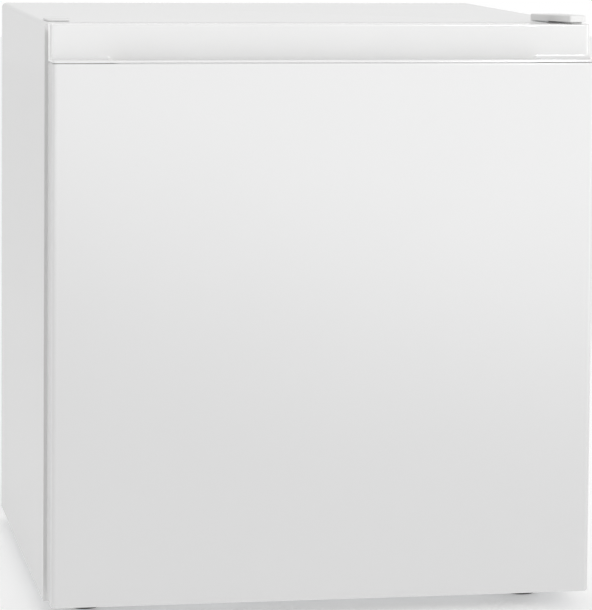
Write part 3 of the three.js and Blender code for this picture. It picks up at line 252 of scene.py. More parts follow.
class Finish:
    """A material built round one Principled shader."""

    def __init__(self, name, color, roughness, metallic=0.0, **constants):
        self.material = bpy.data.materials.new(name)
        self.material.use_nodes = True
        self.tree = self.material.node_tree
        self.shader = self.tree.nodes["Principled BSDF"]
        self.color = (*color, 1)
        self.shader.inputs["Base Color"].default_value = self.color
        self.shader.inputs["Roughness"].default_value = roughness
        self.shader.inputs["Metallic"].default_value = metallic
        for socket, value in constants.items():
            self.shader.inputs[socket.replace("_", " ")].default_value = value
        self.place = self.node("ShaderNodeTexCoord", {}, {}, "Object").socket

    def node(self, kind, settings, values, output=0):
        """Adds one node: its settings, then the values or links of its sockets."""
        made = self.tree.nodes.new(kind)
        for key, value in settings.items():
            setattr(made, key, value)
        for key, value in values.items():
            socket = value.socket if isinstance(value, Term) else value
            if isinstance(socket, bpy.types.NodeSocket):
                self.tree.links.new(socket, made.inputs[key])
            else:
                made.inputs[key].default_value = socket
        return Term(self, made.outputs[output])

    def stretched(self, scale, move=(0, 0, 0)):
        """The surface's own coordinates, stretched along each axis."""
        return self.node("ShaderNodeMapping", {}, {"Vector": self.place, "Scale": scale, "Location": move}).socket

    def noise(self, scale, detail=2.0, stretch=(1, 1, 1)):
        """Soft random relief between 0 and 1, with features about 1/scale metres across."""
        where = self.place if stretch == (1, 1, 1) else self.stretched(stretch)
        return self.node("ShaderNodeTexNoise", {}, {"Vector": where, "Scale": scale, "Detail": detail}, "Fac")

    def cells(self, scale, feature="F1", stretch=(1, 1, 1)):
        """Distance to the nearest of many scattered points."""
        where = self.place if stretch == (1, 1, 1) else self.stretched(stretch)
        return self.node("ShaderNodeTexVoronoi", {"feature": feature}, {"Vector": where, "Scale": scale}, "Distance")

    def axis(self, letter):
        """One coordinate of the surface, in metres."""
        return self.node("ShaderNodeSeparateXYZ", {}, {0: self.place}, letter)

    def blend_colors(self, mask, low, high):
        """Goes from one colour to another as the mask goes from 0 to 1."""
        made = self.tree.nodes.new("ShaderNodeMix")
        made.data_type = "RGBA"
        self.tree.links.new(mask.socket, made.inputs["Factor"])
        for socket, value in ((made.inputs["A"], low), (made.inputs["B"], high)):
            if isinstance(value, Term):
                self.tree.links.new(value.socket, socket)
            else:
                socket.default_value = (*value[:3], 1)
        return Term(self, made.outputs["Result"])

    def set(self, socket, term):
        """Feeds one of the shader's sockets."""
        self.tree.links.new(term.socket, self.shader.inputs[socket])

    def relief(self, height, depth):
        """Raises and lowers the surface by up to depth metres, in its shading only."""
        bump = self.node("ShaderNodeBump", {}, {"Height": height, "Distance": depth, "Strength": 1.0}, "Normal")
        self.set("Normal", bump)


def shade(color, factor):
    """A colour made lighter or darker."""
    return tuple(min(1.0, channel * factor) for channel in color)


# %% [markdown]
# ## The finishes
#
# The cabinet and door are coated steel. The coat levels out into very shallow waves about a
# millimetre across, the "orange peel" that makes reflections shimmer, with faint clouds in its
# gloss and tone. The grip is moulded plastic, glossier, and its waves are longer still.

# %% Coated steel
WHITE = (0.80, 0.80, 0.798)


def coated_steel(name, color, roughness, peel_depth, coat=0.25):
    """Baked paint on sheet: orange peel, with faint clouds in its gloss and tone."""
    finish = Finish(name, color, roughness, 0.0, Coat_Weight=coat, Coat_Roughness=0.12, IOR=1.5)
    peel = finish.noise(900, 1.5)
    fine = finish.noise(2600, 1.0)
    cloud = finish.noise(9, 3)
    finish.set("Roughness", roughness - 0.04 + 0.08 * cloud)
    finish.set("Base Color", finish.blend_colors(cloud, shade(color, 0.992), shade(color, 1.006)))
    finish.relief(peel * 0.75 + fine * 0.25, peel_depth)
    return finish.material


cabinet_paint = coated_steel("cabinet_paint", WHITE, 0.42, 2.2e-5)
door_paint = coated_steel("door_paint", (0.795, 0.795, 0.795), 0.33, 1.2e-5, 0.35)


# %% Plastics
def moulded_plastic(name, color, roughness, grain_scale, grain_depth, coat=0.0):
    """Moulded plastic: a fine spark-eroded grain and slow, barely seen flow marks."""
    finish = Finish(name, color, roughness, 0.0, Coat_Weight=coat, Coat_Roughness=0.08, IOR=1.5)
    grain = finish.noise(grain_scale, 2)
    flow = finish.noise(14, 2, (1, 1, 2.5))
    finish.set("Roughness", roughness - 0.05 + 0.10 * flow)
    finish.set("Base Color", finish.blend_colors(flow, shade(color, 0.985), shade(color, 1.01)))
    finish.relief(grain, grain_depth)
    return finish.material


grip_plastic = moulded_plastic("grip_plastic", (0.83, 0.83, 0.828), 0.16, 260, 0.6e-5, 0.5)
cover_plastic = moulded_plastic("cover_plastic", (0.82, 0.82, 0.815), 0.42, 2400, 2.0e-5)
liner_plastic = moulded_plastic("liner_plastic", (0.86, 0.86, 0.855), 0.32, 420, 1.4e-5, 0.2)
part_plastic = moulded_plastic("part_plastic", (0.80, 0.80, 0.79), 0.4, 1800, 1.6e-5)
black_plastic = moulded_plastic("black_plastic", (0.022, 0.022, 0.023), 0.48, 2600, 3.0e-5)


def see_through(name, color, alpha, roughness):
    """Clear moulded plastic or glass, seen as a pale, glossy, part-transparent skin."""
    finish = Finish(name, color, roughness, 0.0, Alpha=alpha, IOR=1.5, Coat_Weight=0.6, Coat_Roughness=0.05)
    ripple = finish.noise(60, 2)
    haze = finish.noise(11, 3)
    finish.set("Alpha", alpha - 0.05 + 0.10 * haze)
    finish.set("Roughness", roughness + 0.06 * ripple)
    finish.relief(ripple, 2.5e-5)
    return finish.material


clear_plastic = see_through("clear_plastic", (0.83, 0.88, 0.90), 0.46, 0.10)
shelf_glass = see_through("shelf_glass", (0.62, 0.78, 0.74), 0.34, 0.03)


# %% Metals
def zinc_plate():
    """Galvanised sheet: large crystals of zinc that each catch the light a little differently."""
    finish = Finish("zinc_plate", (0.60, 0.61, 0.62), 0.38, 0.9)
    where = finish.stretched((1, 1, 1))
    crystal = finish.node("ShaderNodeTexVoronoi", {"feature": "F1"}, {"Vector": where, "Scale": 110}, "Color")
    grain = finish.node("ShaderNodeSeparateColor", {}, {0: crystal}, "Red")
    scratch = finish.noise(1500, 2, (1, 0.05, 1))
    finish.set("Base Color", finish.blend_colors(grain, (0.52, 0.53, 0.54), (0.68, 0.69, 0.70)))
    finish.set("Roughness", 0.30 + 0.16 * grain + 0.08 * scratch)
    finish.relief(grain * 0.6 + scratch * 0.4, 1.2e-5)
    return finish.material


def plated_steel():
    """Bright zinc on small pressed and turned parts."""
    finish = Finish("plated_steel", (0.64, 0.65, 0.67), 0.28, 1.0)
    fine = finish.noise(1900, 3)
    stain = finish.noise(120, 4)
    finish.set("Base Color", finish.blend_colors(stain, (0.56, 0.57, 0.59), (0.70, 0.71, 0.73)))
    finish.set("Roughness", 0.22 + 0.16 * stain)
    finish.relief(fine, 1.0e-5)
    return finish.material


def drawn_copper():
    """Copper tube, darker where it was heated and handled."""
    finish = Finish("drawn_copper", (0.72, 0.36, 0.20), 0.3, 1.0)
    tarnish = finish.noise(55, 4).band(0.35, 0.7)
    line = finish.noise(2200, 1)
    finish.set("Base Color", finish.blend_colors(tarnish, (0.76, 0.40, 0.23), (0.42, 0.20, 0.12)))
    finish.set("Roughness", 0.24 + 0.22 * tarnish)
    finish.relief(line, 0.8e-5)
    return finish.material


def black_enamel():
    """Black dip paint on the compressor and the coil: shiny, with small runs and dust in it."""
    finish = Finish("black_enamel", (0.012, 0.012, 0.013), 0.3, 0.0, Coat_Weight=0.4, Coat_Roughness=0.15)
    run = finish.noise(70, 3, (1, 1, 0.25))
    dust = finish.noise(1500, 2).band(0.60, 0.72)
    finish.set("Base Color", finish.blend_colors(dust * 0.35, (0.012, 0.012, 0.013), (0.13, 0.125, 0.12)))
    finish.set("Roughness", 0.24 + 0.2 * run + 0.15 * dust)
    finish.relief(run * 0.7 + dust * 0.3, 4.0e-5)
    return finish.material


zinc_sheet = zinc_plate()
bright_steel = plated_steel()
copper = drawn_copper()
black_paint = black_enamel()


# %% Ice box metal, foam, rubber and floor
def roll_bond():
    """Two aluminium sheets rolled together and blown apart along the channels that carry the cold."""
    finish = Finish("roll_bond", (0.70, 0.71, 0.72), 0.34, 0.95)
    along = finish.axis("Y")
    wave = finish.node("ShaderNodeMath", {"operation": "SINE"}, {0: along * 210.0})
    channel = wave.band(0.55, 0.9)
    frost = finish.noise(240, 3)
    finish.set("Roughness", 0.26 + 0.22 * frost)
    finish.set("Base Color", finish.blend_colors(frost, (0.62, 0.63, 0.65), (0.76, 0.77, 0.78)))
    finish.relief(channel + 0.04 * frost, 1.0e-3)
    return finish.material


def rigid_foam():
    """Cut polyurethane foam: small closed cells."""
    finish = Finish("rigid_foam", (0.80, 0.70, 0.45), 0.95)
    cell = finish.cells(700)
    finish.set("Base Color", finish.blend_colors(cell, (0.68, 0.58, 0.34), (0.86, 0.77, 0.52)))
    finish.relief(cell, 3.0e-4)
    return finish.material


def soft_rubber(name, color, roughness):
    """Rubber or soft vinyl: a dull skin with a powdery bloom."""
    finish = Finish(name, color, roughness)
    bloom = finish.noise(190, 4)
    skin = finish.noise(2400, 2)
    finish.set("Base Color", finish.blend_colors(bloom, shade(color, 0.93), shade(color, 1.06)))
    finish.set("Roughness", roughness - 0.1 + 0.2 * bloom)
    finish.relief(skin, 2.5e-5)
    return finish.material


ice_box_metal = roll_bond()
foam = rigid_foam()
seal_vinyl = soft_rubber("seal_vinyl", (0.70, 0.70, 0.69), 0.55)
black_rubber = soft_rubber("black_rubber", (0.03, 0.03, 0.03), 0.8)
floor_finish = Finish("pale_floor", (0.90, 0.90, 0.90), 0.6, Emission_Strength=FLOOR_GLOW)
floor_finish.shader.inputs["Emission Color"].default_value = (1, 1, 1, 1)
floor_finish.set("Roughness", 0.55 + 0.1 * floor_finish.noise(3, 2))
floor_mesh.materials.append(floor_finish.material)
print("finishes:", len(bpy.data.materials))

# %% [markdown]
# ## Shapes from grids
#
# Every new surface is a grid of points: rings of an outline, one after another along a path. The
# helpers below turn such a grid into a mesh, round the corners of an outline, and draw it in by a
# given distance, which is how a moulded edge gets its radius.

# %% Grid helpers
LAY = {"x": (2, 0, 1), "y": (0, 2, 1), "z": (0, 1, 2)}


def lay(u, v, w, axis):
    """Points from outline coordinates u, v and distance w along an axis, as an array of x, y, z."""
    parts = np.broadcast_arrays(u, v, w)
    return np.stack([parts[i] for i in LAY[axis]], axis=-1).astype(float)


def grid_faces(rows, columns, close_rows, close_columns):
    """The four-sided faces of a grid, which may close on itself either way."""
    i = np.arange(rows if close_rows else rows - 1)[:, None]
    j = np.arange(columns if close_columns else columns - 1)[None, :]
    a = i * columns + j
    b = i * columns + (j + 1) % columns
    c = ((i + 1) % rows) * columns + (j + 1) % columns
    d = ((i + 1) % rows) * columns + j
    return np.stack([a, b, c, d], axis=-1).reshape(-1, 4)


def surface(name, grid, close_rows=False, close_columns=True, caps=True):
    """A mesh object from a grid of points, with flat caps on its first and last ring."""
    rows, columns = grid.shape[:2]
    faces = grid_faces(rows, columns, close_rows, close_columns).tolist()
    if caps and not close_rows and close_columns:
        faces.append(list(range(columns))[::-1])
        faces.append([(rows - 1) * columns + k for k in range(columns)])
    mesh = bpy.data.meshes.new(name)
    mesh.from_pydata(grid.reshape(-1, 3).tolist(), [], faces)
    piece = bpy.data.objects.new(name, mesh)
    scene.collection.objects.link(piece)
    tidy(piece)
    return piece


def tidy(piece):
    """Merges doubled points, turns faces outwards and smooths, keeping large flats flat."""
    work = bmesh.new()
    work.from_mesh(piece.data)
    bmesh.ops.remove_doubles(work, verts=work.verts, dist=1e-7)
    bmesh.ops.recalc_face_normals(work, faces=work.faces)
    work.to_mesh(piece.data)
    work.free()
    piece.data.polygons.foreach_set("use_smooth", np.ones(len(piece.data.polygons), bool))
    flats = piece.modifiers.new("flats", "WEIGHTED_NORMAL")
    flats.keep_sharp = True


def rounded(corners, steps=6):
    """A closed outline whose corners, given as (u, v, radius), are arcs tangent to both sides."""
    points = np.array([corner[:2] for corner in corners], float)
    radii = np.array([corner[2] for corner in corners], float)
    before = np.roll(points, 1, axis=0) - points
    after = np.roll(points, -1, axis=0) - points
    before /= np.linalg.norm(before, axis=1)[:, None]
    after /= np.linalg.norm(after, axis=1)[:, None]
    half = np.arccos(np.clip((before * after).sum(1), -1, 1)) / 2
    inward = before + after
    inward /= np.linalg.norm(inward, axis=1)[:, None]
    centre = points + inward * (radii / np.sin(half))[:, None]
    turn = np.linspace(-1, 1, steps)[None, :] * (math.pi / 2 - half)[:, None]
    out = -inward
    tangent = np.stack([-out[:, 1], out[:, 0]], axis=1)
    way = np.sign((tangent * after).sum(1))[:, None]
    tangent = tangent * way
    arc = (centre[:, None, :]
           + radii[:, None, None] * (np.cos(turn)[..., None] * out[:, None, :]
                                     + np.sin(turn)[..., None] * tangent[:, None, :]))
    return arc.reshape(-1, 2)


def normals_of(outline, closed=True):
    """The unit direction at each point that leads out of an anticlockwise outline."""
    ahead = np.roll(outline, -1, axis=0) - outline
    behind = outline - np.roll(outline, 1, axis=0)
    if not closed:
        ahead[-1] = behind[-1]
        behind[0] = ahead[0]
    unit = lambda v: v / np.maximum(np.linalg.norm(v, axis=1), 1e-12)[:, None]
    ahead, behind = unit(ahead), unit(behind)
    tangent = unit(ahead + behind)
    stretch = 1 / np.maximum((tangent * ahead).sum(1), 0.3)
    return np.stack([tangent[:, 1], -tangent[:, 0]], axis=1) * stretch[:, None]


def quarter(steps=5):
    """Angles of a quarter turn."""
    return np.linspace(0, math.pi / 2, steps)


def moulding(name, outline, axis, ends, edges=(0.0, 0.0), steps=5):
    """An outline pushed along an axis, drawn in along a quarter circle at each end."""
    outward = normals_of(outline)
    turn = quarter(steps)
    first, last = edges
    inset = np.concatenate([first * (1 - np.sin(turn)), last * (1 - np.sin(turn[::-1]))])
    along = np.concatenate([ends[0] + first * (1 - np.cos(turn)), ends[1] - last * (1 - np.cos(turn[::-1]))])
    drawn = outline[None] - outward[None] * inset[:, None, None]
    return surface(name, lay(drawn[..., 0], drawn[..., 1], along[:, None], axis))


def turned(name, profile, centre, axis="z", sides=48, squash=1.0):
    """A profile of (radius, height) turned about an axis through a point."""
    profile = np.array(profile, float)
    angle = np.linspace(0, 2 * math.pi, sides, endpoint=False)
    radius = profile[:, 0][:, None]
    u = radius * np.cos(angle)
    v = radius * np.sin(angle) * squash
    grid = lay(u, v, profile[:, 1][:, None] + 0 * u, axis) + np.array(centre)
    return surface(name, grid)


def rounded_path(corners, bend, steps=7):
    """A line of straight stretches with each corner replaced by an arc, and its unit tangents."""
    corners = np.array(corners, float)
    along = np.diff(corners, axis=0)
    along /= np.linalg.norm(along, axis=1)[:, None]
    u, v = along[:-1], along[1:]
    angle = np.arccos(np.clip((u * v).sum(1), -1, 1))
    toward = v - u * (u * v).sum(1)[:, None]
    toward /= np.linalg.norm(toward, axis=1)[:, None]
    start = corners[1:-1] - u * (bend * np.tan(angle / 2))[:, None]
    turn = np.linspace(0, 1, steps)[None, :] * angle[:, None]
    arc = (start[:, None, :] + bend * np.sin(turn)[..., None] * u[:, None, :]
           + bend * (1 - np.cos(turn))[..., None] * toward[:, None, :])
    heading = np.cos(turn)[..., None] * u[:, None, :] + np.sin(turn)[..., None] * toward[:, None, :]
    points = np.concatenate([corners[:1], arc.reshape(-1, 3), corners[-1:]])
    tangents = np.concatenate([along[:1], heading.reshape(-1, 3), along[-1:]])
    return points, tangents


def tube(name, corners, radius, bend, sides=20):
    """A round tube along a path: at each station a circle square to the path."""
    points, tangents = rounded_path(corners, bend)
    reference = np.array([0.31, 0.53, 0.79])
    across = np.cross(tangents, reference)
    across /= np.linalg.norm(across, axis=1)[:, None]
    upward = np.cross(tangents, across)
    angle = np.linspace(0, 2 * math.pi, sides, endpoint=False)
    grid = (points[:, None, :] + radius * (np.cos(angle)[None, :, None] * across[:, None, :]
                                           + np.sin(angle)[None, :, None] * upward[:, None, :]))
    return surface(name, grid)


def place(piece, material, slot, body, *replaced):
    """Gives a piece its finish and its body, and hides the engineering nodes it stands for; slot is not used."""
    piece.data.materials.append(material)
    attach(piece, body)
    if replaced:
        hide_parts(*replaced)
    return piece


# %% [markdown]
# ## The door's steel panel
#
# One sheet folded into a shallow pan: a flat face, two long rolled edges at the sides and a tight
# fold along the bottom. A box would give hard black corners; the real fold is a soft roll about
# 4 mm across that draws a thin bright line down each side of the door.

# %% Door panel
SHEET = 0.8 * MM
PANEL_ROLL = 4.0 * MM
FOLD = 1.4 * MM
RETURN = 5.0 * MM
panel_x = span("door_panel", 0)
panel_y = span("door_panel", 1)
panel_z = span("door_panel", 2)


def door_panel():
    """Rows of an open U outline, stacked upwards; the first and last rows roll in to make the folds."""
    turn = quarter(8)
    left, right_edge = panel_x
    front, back = panel_y
    roll_left = np.stack([left + PANEL_ROLL * (1 - np.cos(turn)), front + PANEL_ROLL * (1 - np.sin(turn))], axis=1)
    roll_right = np.stack([right_edge - PANEL_ROLL * (1 - np.sin(turn)), front + PANEL_ROLL * (1 - np.cos(turn))], axis=1)
    roll_right[:, 0] = right_edge - PANEL_ROLL * (1 - np.sin(turn))
    face = np.stack([np.linspace(left + PANEL_ROLL, right_edge - PANEL_ROLL, 26)[1:-1], np.full(24, front)], axis=1)
    outline = np.concatenate([[[left, back]], roll_left, face, roll_right, [[right_edge, back]]])
    outward = normals_of(outline, closed=False)
    fold = quarter(6)
    inset = np.concatenate([[RETURN], FOLD * (1 - np.sin(fold)), np.zeros(18), FOLD * (1 - np.cos(fold))])
    height = np.concatenate([
        [panel_z[0]],
        panel_z[0] + FOLD * (1 - np.cos(fold)),
        np.linspace(panel_z[0] + FOLD, panel_z[1] - FOLD, 20)[1:-1],
        panel_z[1] - FOLD + FOLD * np.sin(fold),
    ])
    drawn = outline[None] - outward[None] * inset[:, None, None]
    grid = lay(drawn[..., 0], drawn[..., 1], height[:, None], "z")
    piece = surface("steel_door_panel", grid, close_columns=False, caps=False)
    wall = piece.modifiers.new("sheet", "SOLIDIFY")
    wall.thickness = SHEET
    wall.offset = -1
    return piece


panel = place(door_panel(), door_paint, "door_paint", "door", "door_panel")
print("door panel points:", len(panel.data.vertices))

# %% [markdown]
# ## The grip along the top of the door
#
# Above the steel panel a plastic moulding closes the door. Its face is set back, so that the top
# of the panel becomes a ledge, and between the ends the ledge drops into a long scoop for the
# fingers. Its cross-section is one closed loop, and the scoop's depth is a smooth function of the
# distance from the middle, so the whole moulding is one grid.

# %% Grip moulding
trim_x = span("door_top_trim", 0)
trim_y = span("door_top_trim", 1)
trim_z = span("door_top_trim", 2)
door_face = panel_y[0]
SETBACK = 19.0 * MM
LEDGE = 2.1 * MM
SCOOP = 14.0 * MM
SCOOP_END = 54.0 * MM
SCOOP_EASE = 15.0 * MM
BAND_ROLL = 1.3 * MM
WALL = 2.0 * MM


def smooth(t):
    """0 below 0, 1 above 1, and 3t^2 - 2t^3 between."""
    t = np.clip(t, 0, 1)
    return t * t * (3 - 2 * t)


def grip_moulding():
    """For each station along x, the loop lip, scoop, band, top, back and underside."""
    half = trim_x[1]
    top = trim_z[1]
    seat = panel_z[1] + 0.3 * MM
    ledge = seat + LEDGE
    depth = trim_y[1] - door_face
    ends = half - np.geomspace(0.02 * MM, 6 * MM, 9)[::-1]
    ease = np.linspace(half - SCOOP_END - 4 * MM, half - SCOOP_END + SCOOP_EASE, 16)
    inner = np.linspace(0, ease[0], 8)[:-1]
    stations = np.concatenate([inner, ease, [half - 12 * MM], ends, [half]])
    x = np.concatenate([-stations[::-1], stations[1:]])[:, None]
    scoop = SCOOP * smooth((half - SCOOP_END + SCOOP_EASE * 0.6 - np.abs(x)) / SCOOP_EASE)

    def plane_roll(radius):
        """How far a corner of this radius draws the front back near the ends."""
        inside = np.clip(radius - (half - np.abs(x)), 0, radius)
        return radius - np.sqrt(np.maximum(radius ** 2 - inside ** 2, 0))

    lip = 1.4 * MM
    lift = 0.5 * MM * smooth((half - np.abs(x) - 30 * MM) / (60 * MM))
    arc = quarter(5)
    lip_y = np.concatenate([[0.3 * MM], 0.3 * MM + lip * (1 - np.cos(arc))])
    lip_z = np.concatenate([[seat], ledge - lip + lip * np.sin(arc)])
    run_y = np.linspace(2.6 * MM, SETBACK - 3 * MM, 13)
    trough = smooth((run_y - 2.6 * MM) / (4.2 * MM))
    fillet_y = SETBACK - 3 * MM * (1 - np.sin(arc[1:]))
    fillet_rise = 3 * MM * (1 - np.cos(arc[1:]))
    face_rise = np.linspace(0.12, 1, 5)
    roll_y = SETBACK + BAND_ROLL * (1 - np.cos(arc))
    roll_z = top - BAND_ROLL * (1 - np.sin(arc))
    back_y = np.array([depth - 1 * MM, depth - 0.3 * MM, depth, depth])
    back_z = np.array([top, top - 0.3 * MM, top - 1 * MM, seat])
    under_y = np.linspace(SETBACK + WALL, 1.2 * MM, 15)
    under_trough = smooth((under_y - 1.2 * MM) / (3.4 * MM)) * (under_y < SETBACK + WALL + 1e-6)
    blank = 0 * x
    loop_y = [lip_y + blank, run_y + blank, fillet_y + blank, SETBACK + 0 * face_rise + blank,
              roll_y + blank, back_y + blank, under_y + blank]
    low_face = ledge - scoop + 3 * MM
    high_face = top - BAND_ROLL
    loop_z = [np.concatenate([lip_z[:1] + lift, lip_z[1:] + blank], axis=1), ledge - scoop * trough, ledge - scoop + fillet_rise,
              low_face + (high_face - low_face) * face_rise, roll_z + blank, back_z + blank,
              seat - scoop * under_trough + lift * (1 - under_trough)]
    y = np.concatenate(loop_y, axis=1)
    z = np.concatenate(loop_z, axis=1)
    front_roll, band_roll = plane_roll(PANEL_ROLL), plane_roll(3.0 * MM)
    y = np.where(y < SETBACK - 1e-6, np.maximum(y, front_roll), y + band_roll * (depth - y) / (depth - SETBACK))
    grid = lay(x + 0 * y, y + door_face, z, "z")
    return surface("grip_moulding", grid)


grip = place(grip_moulding(), grip_plastic, "gloss_white", "door", "door_top_trim")
print("grip points:", len(grip.data.vertices))

# %% [markdown]
# ## The seal
#
# The magnetic seal is a soft hollow strip: a flat base that clips to the door, a thin bellows that
# lets it stretch, and a thick bead with the magnet in it. The same cross-section is carried round
# the door's back, turning through each corner.

# %% Seal
seal_x, seal_y, seal_z = (span("door_gasket", axis) for axis in range(3))


def magnetic_seal():
    """Cross-section points (distance outwards, depth) carried along a rounded rectangle."""
    width = 16.0 * MM
    depth = seal_y[1] - seal_y[0]
    section = rounded([
        (-8 * MM, 0, 0.4 * MM), (8 * MM, 0, 0.4 * MM), (7.4 * MM, 3 * MM, 0.8 * MM),
        (4.2 * MM, 4.2 * MM, 0.8 * MM), (6.6 * MM, 6.4 * MM, 0.9 * MM), (4.4 * MM, 8.4 * MM, 0.7 * MM),
        (7.6 * MM, 9.4 * MM, 0.8 * MM), (7.6 * MM, depth, 1.2 * MM), (-7.6 * MM, depth, 1.2 * MM),
        (-7.6 * MM, 9.4 * MM, 0.8 * MM), (-4.4 * MM, 8.4 * MM, 0.7 * MM), (-6.6 * MM, 6.4 * MM, 0.9 * MM),
        (-4.2 * MM, 4.2 * MM, 0.8 * MM), (-7.4 * MM, 3 * MM, 0.8 * MM),
    ], steps=4)
    inset = width / 2
    line = rounded([
        (seal_x[0] + inset, seal_z[0] + inset, 3 * MM), (seal_x[1] - inset, seal_z[0] + inset, 3 * MM),
        (seal_x[1] - inset, seal_z[1] - inset, 3 * MM), (seal_x[0] + inset, seal_z[1] - inset, 3 * MM),
    ], steps=6)
    outward = normals_of(line)
    spread = line[:, None, :] + outward[:, None, :] * section[None, :, 0, None]
    grid = lay(spread[..., 0], spread[..., 1], seal_y[0] + section[None, :, 1], "y")
    return surface("magnetic_seal", grid, close_rows=True)


place(magnetic_seal(), seal_vinyl, "seal", "door", "door_gasket")

# %% [markdown]
# ## The hinge cover, its cap and the screws
#
# At the top right a white cover hides the hinge. It narrows towards the front, where it hangs
# over the door with the steel pin showing under it, and its upper edges are rolled. On the other
# side a thin cap closes the holes that a left-hand hinge would use.

# %% Hinge cover
cover_low, cover_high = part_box("top_hinge_cover")
pin = Vector(middle("top_hinge_pin"))


def hinge_cover():
    """Rings of the cover's plan at rising heights; the last rings are drawn in to roll the edge."""
    tilt = 1.8 * MM
    climb = tilt / (cover_high.y - cover_low.y)
    height = (cover_high.z - cover_low.z) - tilt
    narrow = cover_high.x - pin.x
    plan = rounded([
        (cover_low.x, cover_high.y, 1.2 * MM), (pin.x - narrow, cover_low.y, 2.2 * MM),
        (cover_high.x, cover_low.y, 2.2 * MM), (cover_high.x, cover_high.y, 1.2 * MM),
    ], steps=7)
    outward = normals_of(plan)
    turn = quarter(6)
    roll = 1.1 * MM
    wall = 1.2 * MM
    inset = np.concatenate([[wall, wall * 0.4, 0, 0], roll * (1 - np.cos(turn)), [roll + 1.0 * MM]])
    level = np.concatenate([[0.0, 0.0, 0.25 * MM, 0.6 * MM], height - roll + roll * np.sin(turn), [height + 0.02 * MM]])
    drawn = plan[None] - outward[None] * inset[:, None, None]
    slope = (cover_high.y - drawn[..., 1]) * climb
    grid = lay(drawn[..., 0], drawn[..., 1], cover_low.z + level[:, None] + slope, "z")
    return surface("hinge_cover", grid)


place(hinge_cover(), cover_plastic, "white_plastic", "cabinet", "top_hinge_cover")

cap_low, cap_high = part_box("hinge_hole_cap")
cap_top = cap_high.z
cap_plan = rounded([
    (cap_low.x, cap_low.y, 3 * MM), (cap_high.x, cap_low.y, 3 * MM),
    (cap_high.x, cap_high.y, 3 * MM), (cap_low.x, cap_high.y, 3 * MM),
])
place(moulding("spare_hole_cap", cap_plan, "z", (cap_top - 1.5 * MM, cap_top), (0.1 * MM, 0.6 * MM)),
      cover_plastic, "white_plastic", "cabinet", "hinge_hole_cap")


# %% Screws
def pan_screw(name, centre, head, radius, direction, axis):
    """A domed head with a cross recess: the dome's height drops where |u| or |v| is small."""
    rings = np.array([1e-5, 0.10, 0.2, 0.32, 0.44, 0.56, 0.68, 0.8, 0.9, 0.97, 1.0])
    angle = np.linspace(0, 2 * math.pi, 64, endpoint=False)
    u = radius * rings[:, None] * np.cos(angle)
    v = radius * rings[:, None] * np.sin(angle)
    dome = head * (1 - 0.55 * rings[:, None] ** 3)
    arm = 0.13 * radius
    near = np.minimum(np.abs(u), np.abs(v))
    reach = 1 - smooth((rings[:, None] - 0.5) / 0.12)
    recess = head * 0.6 * (1 - smooth((near - arm * 0.6) / (arm * 0.8))) * reach
    top = dome - recess
    skirt = np.zeros((1, angle.size))
    u = np.concatenate([u, u[-1:]])
    v = np.concatenate([v, v[-1:]])
    height = np.concatenate([top, skirt]) * direction
    grid = lay(u, v, height, axis) + np.array(centre)
    return surface(name, grid)


for number in (1, 2):
    low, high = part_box(f"top_hinge_screw_{number}")
    spot = (low + high) / 2
    head_height = 1.9 * MM
    place(pan_screw(f"hinge_screw_{number}", (spot.x, spot.y, high.z - head_height), head_height, 3.5 * MM, 1, "z"),
          bright_steel, "zinc_steel", "cabinet", f"top_hinge_screw_{number}")
    low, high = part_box(f"bottom_hinge_screw_{number}")
    spot = (low + high) / 2
    place(pan_screw(f"bracket_screw_{number}", (spot.x, low.y + head_height, spot.z), head_height, 4 * MM, -1, "y"),
          bright_steel, "zinc_steel", "cabinet", f"bottom_hinge_screw_{number}")

# %% [markdown]
# ## The running gear at the back
#
# The compressor is two deep-drawn steel cups welded rim to rim and dipped in black paint, on a
# plate with four rubber bushes. Its pipes, the filter and the wire-on-tube coil are all tubes
# carried along bent paths; the coil's stiffening wires are spot-welded across both of its faces.

# %% Compressor
pot_low, pot_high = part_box("compressor")
pot_centre = (pot_low + pot_high) / 2
POT_FLANGE = (pot_high.x - pot_low.x) / 2
POT_SQUASH = 0.85


def compressor_shell():
    """Two cups: straight walls that round over, with a welded rim between them."""
    tall = pot_high.z - pot_low.z
    wall = POT_FLANGE - 3.5 * MM
    seam = tall * 0.5
    turn = quarter(9)
    lower_round = 24 * MM
    upper_round = 30 * MM
    bottom = np.stack([wall - lower_round + lower_round * np.sin(turn), 1 * MM + lower_round * (1 - np.cos(turn))], axis=1)
    rim_turn = np.linspace(-math.pi / 2, math.pi / 2, 7)
    rim = np.stack([wall + 1.2 * MM + 2.2 * MM * np.cos(rim_turn), seam + 2.6 * MM * np.sin(rim_turn)], axis=1)
    shoulder = wall - 2 * MM
    top = np.stack([shoulder - upper_round + upper_round * np.cos(turn), tall - 6 * MM - upper_round + upper_round * np.sin(turn)], axis=1)
    crown = np.array([[shoulder - upper_round - 14 * MM, tall - 1.5 * MM], [10 * MM, tall], [0.01 * MM, tall]])
    floor_rows = np.array([[0.01 * MM, 1 * MM], [30 * MM, 1 * MM]])
    profile = np.concatenate([floor_rows, bottom, [[wall, seam - 2.6 * MM]], rim, [[shoulder, seam + 3.4 * MM]], top, crown])
    return turned("compressor_shell", profile, (pot_centre.x, pot_centre.y, pot_low.z), sides=72, squash=POT_SQUASH)


place(compressor_shell(), black_paint, "black_paint", "cabinet", "compressor")
base_plan = rounded([
    (pot_centre.x - 62 * MM, pot_centre.y - 54 * MM, 10 * MM), (pot_centre.x + 62 * MM, pot_centre.y - 54 * MM, 10 * MM),
    (pot_centre.x + 62 * MM, pot_centre.y + 54 * MM, 10 * MM), (pot_centre.x - 62 * MM, pot_centre.y + 54 * MM, 10 * MM),
])
place(moulding("compressor_base", base_plan, "z", (pot_low.z, pot_low.z + 2.6 * MM), (0.5 * MM, 0.5 * MM)),
      black_paint, "black_paint", "cabinet")

